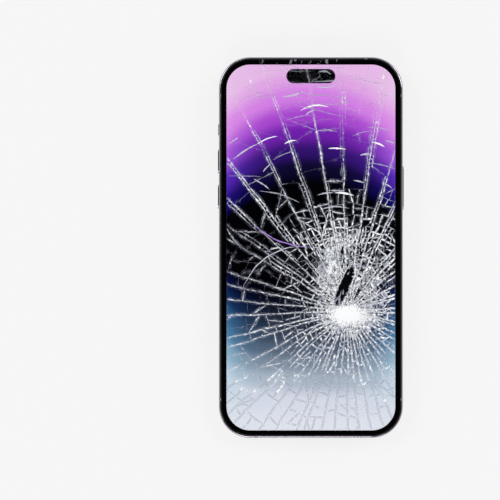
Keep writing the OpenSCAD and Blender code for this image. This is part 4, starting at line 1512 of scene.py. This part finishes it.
    def mound(self) -> BMesh:
        """Packs the middle of the blow with powdered glass, thin and ragged at its edge.

        Returns:
            The powder in millimetres.
        """
        pack = bmesh.new()
        bmesh.ops.create_grid(pack, x_segments=84, y_segments=46, size=1.0)
        middle = self.blotch.centre + Vector((-0.6, 0.5, 0))
        edge = Oval(middle, tuple(reach * 1.05 for reach in self.blotch.reach))
        stretch = Matrix.Translation(middle) @ Matrix.Diagonal((*edge.reach, 1, 1))
        bmesh.ops.transform(pack, matrix=stretch, verts=pack.verts)
        for vert in pack.verts:
            vert.co += shiver(vert.co, 0.5, 0.08)
        spots = ((face, face.calc_center_median()) for face in pack.faces)
        loose = [face for face, spot in spots if self.void.measure(spot) < 1.1
                 or edge.measure(spot) * 1.15 + 0.75 * ripple(spot, 0.8) > 1.0]
        bmesh.ops.delete(pack, geom=loose, context="FACES")
        while pinched := [v for v in pack.verts if sum(e.is_boundary for e in v.link_edges) > 2]:
            spare = list(dict.fromkeys(v.link_faces[0] for v in pinched))
            bmesh.ops.delete(pack, geom=spare, context="FACES")
        for vert in pack.verts:
            vert.co.z = self.top - 0.01 - 0.06 * abs(ripple(vert.co, 0.45))
        bmesh.ops.solidify(pack, geom=pack.faces[:], thickness=0.1)
        self.turn_outwards(pack)
        for vert in pack.verts:
            vert.co.z = min(vert.co.z, self.top - 0.005)
        return pack

    def slivers(self) -> BMesh:
        """Leaves thin splinters across the lower part of the hole, and teeth of glass round its edge.

        Returns:
            The splinters in millimetres.
        """
        heap = bmesh.new()
        turn, (half_length, half_width) = math.radians(self.void.turn), self.void.reach
        placed = [(Vector((x, y, 0)), length, lean, 0.42) for x, y, length, lean in self.splinters]
        for _ in range(self.teeth):
            way = self.chance.uniform(0, 2 * math.pi)
            spot = Vector((math.cos(way) * half_length, math.sin(way) * half_width, 0))
            inward = math.atan2(-math.sin(way) * half_length, -math.cos(way) * half_width)
            length = self.chance.uniform(0.4, 1.2)
            lean = inward + self.chance.gauss(0, 0.5)
            placed.append((spot, length, lean, self.chance.uniform(0.16, 0.36)))
        for spot, length, lean, radius in placed:
            spot.rotate(spin(self.void.turn))
            x, y = self.void.centre.x + spot.x, self.void.centre.y + spot.y
            place = (Matrix.Translation((x, y, self.top - 0.3))
                     @ Matrix.Rotation(turn + lean, 4, "Z") @ Matrix.Rotation(math.pi / 2, 4, "Y")
                     @ Matrix.Diagonal((0.35, 1.0, 1.0, 1.0)))
            made = bmesh.ops.create_cone(heap, cap_ends=True, segments=5, radius1=radius, radius2=0.06,
                                         depth=length, matrix=place)
            slot = int(self.chance.random() < 0.4)
            give_slot(made["verts"], slot)
        return heap

    def drift(self, x: float, y: float) -> Vector:
        """Draws a shift in the plane, of a given spread along each axis."""
        return Vector((self.chance.gauss(0, x), self.chance.gauss(0, y), 0))

    def grains(self) -> BMesh:
        """Scatters small grains of crushed glass over the blow and round the hole.

        Returns:
            The grains in millimetres.
        """
        heap = Heap()
        made = 0
        while made < self.grain_count:
            spread = self.chance.random()
            if spread < 0.6:
                spot = self.blotch.centre + self.drift(4.2, 2.1)
            elif spread < 0.85:
                turn = self.chance.uniform(0, 2 * math.pi)
                ring = Vector((math.cos(turn) * 10, math.sin(turn) * 3.2, 0))
                ring.rotate(spin(self.void.turn))
                spot = self.void.centre + ring + self.drift(0.9, 0.9)
            else:
                spot = Vector((self.chance.gauss(8, 3), self.chance.gauss(-13, 7), 0))
            if self.void.measure(spot) < 1.05:
                continue
            size = self.chance.uniform(0.1, 0.32)
            spot.z = self.top - 0.01 - size * 0.6 - self.chance.uniform(0.0, 0.12)
            shape = (1.0, self.chance.uniform(0.5, 1.0), 0.55)
            heap.add(size, spot, self.chance.uniform(0, math.pi), shape)
            made += 1
        return heap.finished()


@dataclass
class SensorWindow:
    """What shows through the dark window near the top of the screen: its black print and two lenses."""

    half_length: float = 10.2
    half_height: float = 2.9
    middle_y: float = 72.35
    level: float = 7.02
    thickness: float = 0.03
    lenses: tuple[tuple[str, float, float], ...] = (
        ("front_camera_lens", 6.2, 1.45), ("infrared_lens", -7.6, 1.2))
    # inner is the colour of the painted glint in each lens's middle; outer is its dark edge.
    inner: Colour = (44, 58, 84)
    outer: Colour = (10, 10, 14)

    def print_film(self) -> BMesh:
        """Makes the black film, with an opening over each lens.

        Returns:
            The film in millimetres.
        """
        film = bmesh.new()
        reach = self.half_length - self.half_height
        for vert in bmesh.ops.create_circle(film, segments=48, radius=self.half_height)["verts"]:
            vert.co.x += reach if vert.co.x > 0 else -reach
        for _, x, radius in self.lenses:
            bmesh.ops.create_circle(film, segments=32, radius=radius, matrix=Matrix.Translation((x, 0, 0)))
        bmesh.ops.triangle_fill(film, use_beauty=True, edges=film.edges[:])
        bmesh.ops.translate(film, vec=(0, self.middle_y, self.level), verts=film.verts)
        bmesh.ops.solidify(film, geom=film.faces[:], thickness=self.thickness)
        bmesh.ops.recalc_face_normals(film, faces=film.faces)
        return film

    def lens(self, x: float, radius: float) -> BMesh:
        """Makes a domed lens.

        Args:
            x: Its place across the phone.
            radius: Its radius.

        Returns:
            The lens in millimetres.
        """
        dome = bmesh.new()
        bmesh.ops.create_uvsphere(dome, u_segments=32, v_segments=16, radius=radius)
        place = Matrix.Translation((x, self.middle_y, self.level - 0.005))
        bmesh.ops.transform(dome, matrix=place @ Matrix.Diagonal((1, 1, 0.02, 1)), verts=dome.verts)
        return dome

    def build(self) -> None:
        """Makes the film and the lenses."""
        film = Finish("window_print", (36, 37, 44), 0.3, 0.0, Grain.SATIN, 2, 0.001, 0.2, 0.05)
        add_piece("sensor_print", self.print_film(), [film.build()])
        for name, x, radius in self.lenses:
            centre = (x, self.middle_y)
            coating = PaintedGlintLens(name + "_coating", centre, self.inner, self.outer, radius * MM)
            add_piece(name, self.lens(x, radius), [coating.build()])


# -------------------------------------------------------------------------------------- set


@dataclass
class Studio:
    """The floor that the phone rests on, the soft light and the camera.

    Attributes:
        paper: The floor's colour.
        distance: The camera's height.
        frame_width: Width of what the camera sees at the screen's height.
        aim: Where the camera stands, across and along the phone.
        sensor: Width of the camera's sensor in millimetres.
        sky_level, dark_level: Brightness of the sky and of its dark middle straight above.
        suns: Azimuth and elevation of each sun in degrees.
        plain_share: How far the paper shines evenly where it is seen.
        underside: Height below which a solid's corners can touch the floor.
        weight_height: Height of the phone's centre of weight.
    """

    paper: Colour = (246, 246, 246)
    floor_radius: float = 3.0
    distance: float = 1.2
    frame_width: float = 210.9 * MM
    aim: tuple[float, float] = (-25.7 * MM, -1.05 * MM)
    sensor: float = 36.0
    sky_level: float = 0.93
    dark_level: float = 0.006
    suns: tuple[tuple[float, float], ...] = ((150, 46), (35, 42), (262, 48))
    sun_strength: float = 0.8
    sun_width: float = 24.0
    plain_share: float = 0.88
    underside: float = 0.4 * MM
    weight_height: float = 3.9 * MM

    def rest_plane(self, nodes: dict[str, Object]) -> tuple[Vector, Vector]:
        """Finds the plane that the phone lies on, from the hull of its outer solids.

        Args:
            nodes: The frame's solids by name.

        Returns:
            A point of the plane, and its normal towards the phone.
        """
        hull = bmesh.new()
        for name in ("back_glass", "side_band", *(f"{place}_camera_ring" for place in CAMERAS)):
            for vert in nodes[name].data.vertices:
                if vert.co.z < self.underside:
                    hull.verts.new(vert.co)
        bmesh.ops.remove_doubles(hull, verts=hull.verts, dist=0.01 * MM)
        bmesh.ops.convex_hull(hull, input=hull.verts)
        bmesh.ops.triangulate(hull, faces=hull.faces)
        weight = Vector((0.0, 0.0, self.weight_height))
        for face in hull.faces:
            face.normal_update()
            normal = face.normal if face.normal.z > 0 else -face.normal
            corners = [v.co for v in face.verts]
            lowest = min((v.co - corners[0]).dot(normal) for v in hull.verts)
            under = normal.z > 0.9 and lowest > -0.01 * MM
            if under and geometry.intersect_ray_tri(*corners, -normal, weight):
                found = corners[0].copy(), normal.copy()
                hull.free()
                return found
        raise ValueError("the phone has no face to rest on")

    def lay_floor(self, nodes: dict[str, Object]) -> None:
        """Makes the floor.

        Args:
            nodes: The frame's solids by name.
        """
        point, normal = self.rest_plane(nodes)
        mesh = bmesh.new()
        bmesh.ops.create_circle(mesh, cap_ends=True, segments=96, radius=self.floor_radius)
        turn = Vector((0, 0, 1)).rotation_difference(normal).to_matrix().to_4x4()
        bmesh.ops.transform(mesh, matrix=Matrix.Translation(point) @ turn, verts=mesh.verts)
        data = to_data("floor", mesh)
        data.materials.append(self.paper_material())
        put_in_scene("floor", data)
        LOG.info("floor tilted %.2f degrees", math.degrees(normal.angle(Vector((0, 0, 1)))))

    def paper_material(self) -> Material:
        """Makes the floor's paper, which looks evenly white but still takes a shadow.

        Returns:
            The material.
        """
        material = bpy.data.materials.new("floor_paper")
        graph = Graph(material)
        fibre = graph.noise(2 * MM, 2.0)
        paper = graph.blend(fibre, linear(self.paper, 0.995), linear(self.paper, 1.005))
        lit = graph.wire(graph.node("ShaderNodeBsdfDiffuse", None, {"Color": paper}))
        plain = graph.wire(graph.node("ShaderNodeEmission", None, {"Color": paper}))
        path = graph.node("ShaderNodeLightPath")
        seen = graph.wire(path, "Is Camera Ray")
        for ray in ("Is Glossy Ray", "Is Transmission Ray"):
            seen = graph.math("MAXIMUM", seen, graph.wire(path, ray))
        mixed = graph.node("ShaderNodeMixShader", None, {0: seen * self.plain_share, 1: lit, 2: plain})
        graph.node("ShaderNodeOutputMaterial", None, {"Surface": graph.wire(mixed)})
        return material

    def light(self) -> None:
        """Makes the sky, which is dark straight above, and three soft suns round it."""
        world = bpy.data.worlds.new("studio")
        bpy.context.scene.world = world
        graph = Graph(world)
        direction = graph.wire(graph.node("ShaderNodeTexCoord"), "Generated")
        up = graph.wire(graph.node("ShaderNodeSeparateXYZ", None, {0: direction}), 2)
        dim = graph.steps(up, 0.58, 0.86)
        pale, dark = (self.sky_level,) * 3 + (1.0,), (self.dark_level,) * 3 + (1.0,)
        sky = graph.node("ShaderNodeBackground", None, {"Color": graph.blend(dim, pale, dark)})
        graph.node("ShaderNodeOutputWorld", None, {"Surface": graph.wire(sky)})
        for index, (azimuth, elevation) in enumerate(self.suns):
            lamp = bpy.data.lights.new(f"soft_sun_{index}", "SUN")
            lamp.energy = self.sun_strength
            lamp.angle = math.radians(self.sun_width)
            turn, rise = math.radians(azimuth), math.radians(elevation)
            flat = math.cos(rise)
            towards = Vector((math.cos(turn) * flat, math.sin(turn) * flat, math.sin(rise)))
            sun = put_in_scene(lamp.name, lamp)
            sun.rotation_euler = towards.to_track_quat("Z", "Y").to_euler()

    def place_camera(self, screen_top: float) -> None:
        """Makes the camera, which looks straight down on the screen.

        Args:
            screen_top: Height of the screen's face in metres.
        """
        lens = bpy.data.cameras.new("camera")
        lens.sensor_width = self.sensor
        lens.lens = self.sensor * (self.distance - screen_top) / self.frame_width
        lens.clip_end = 20.0
        camera = put_in_scene("camera", lens)
        camera.location = (*self.aim, self.distance)
        bpy.context.scene.camera = camera

    def build(self, nodes: dict[str, Object]) -> None:
        """Makes the whole set.

        Args:
            nodes: The frame's solids by name.
        """
        self.lay_floor(nodes)
        self.light()
        self.place_camera(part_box("cover_glass")[1].z)
        bpy.context.scene.view_settings.view_transform = "Standard"


def main() -> None:
    """Builds the looks round the frame."""
    logging.basicConfig(level=logging.INFO, format="%(message)s")
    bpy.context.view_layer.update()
    nodes = frame["nodes"]
    Studio().build(nodes)
    CarriedSolids().dress(nodes)
    Screen().build(nodes["cover_glass"])
    SensorWindow().build()


if __name__ == "__main__":
    main()
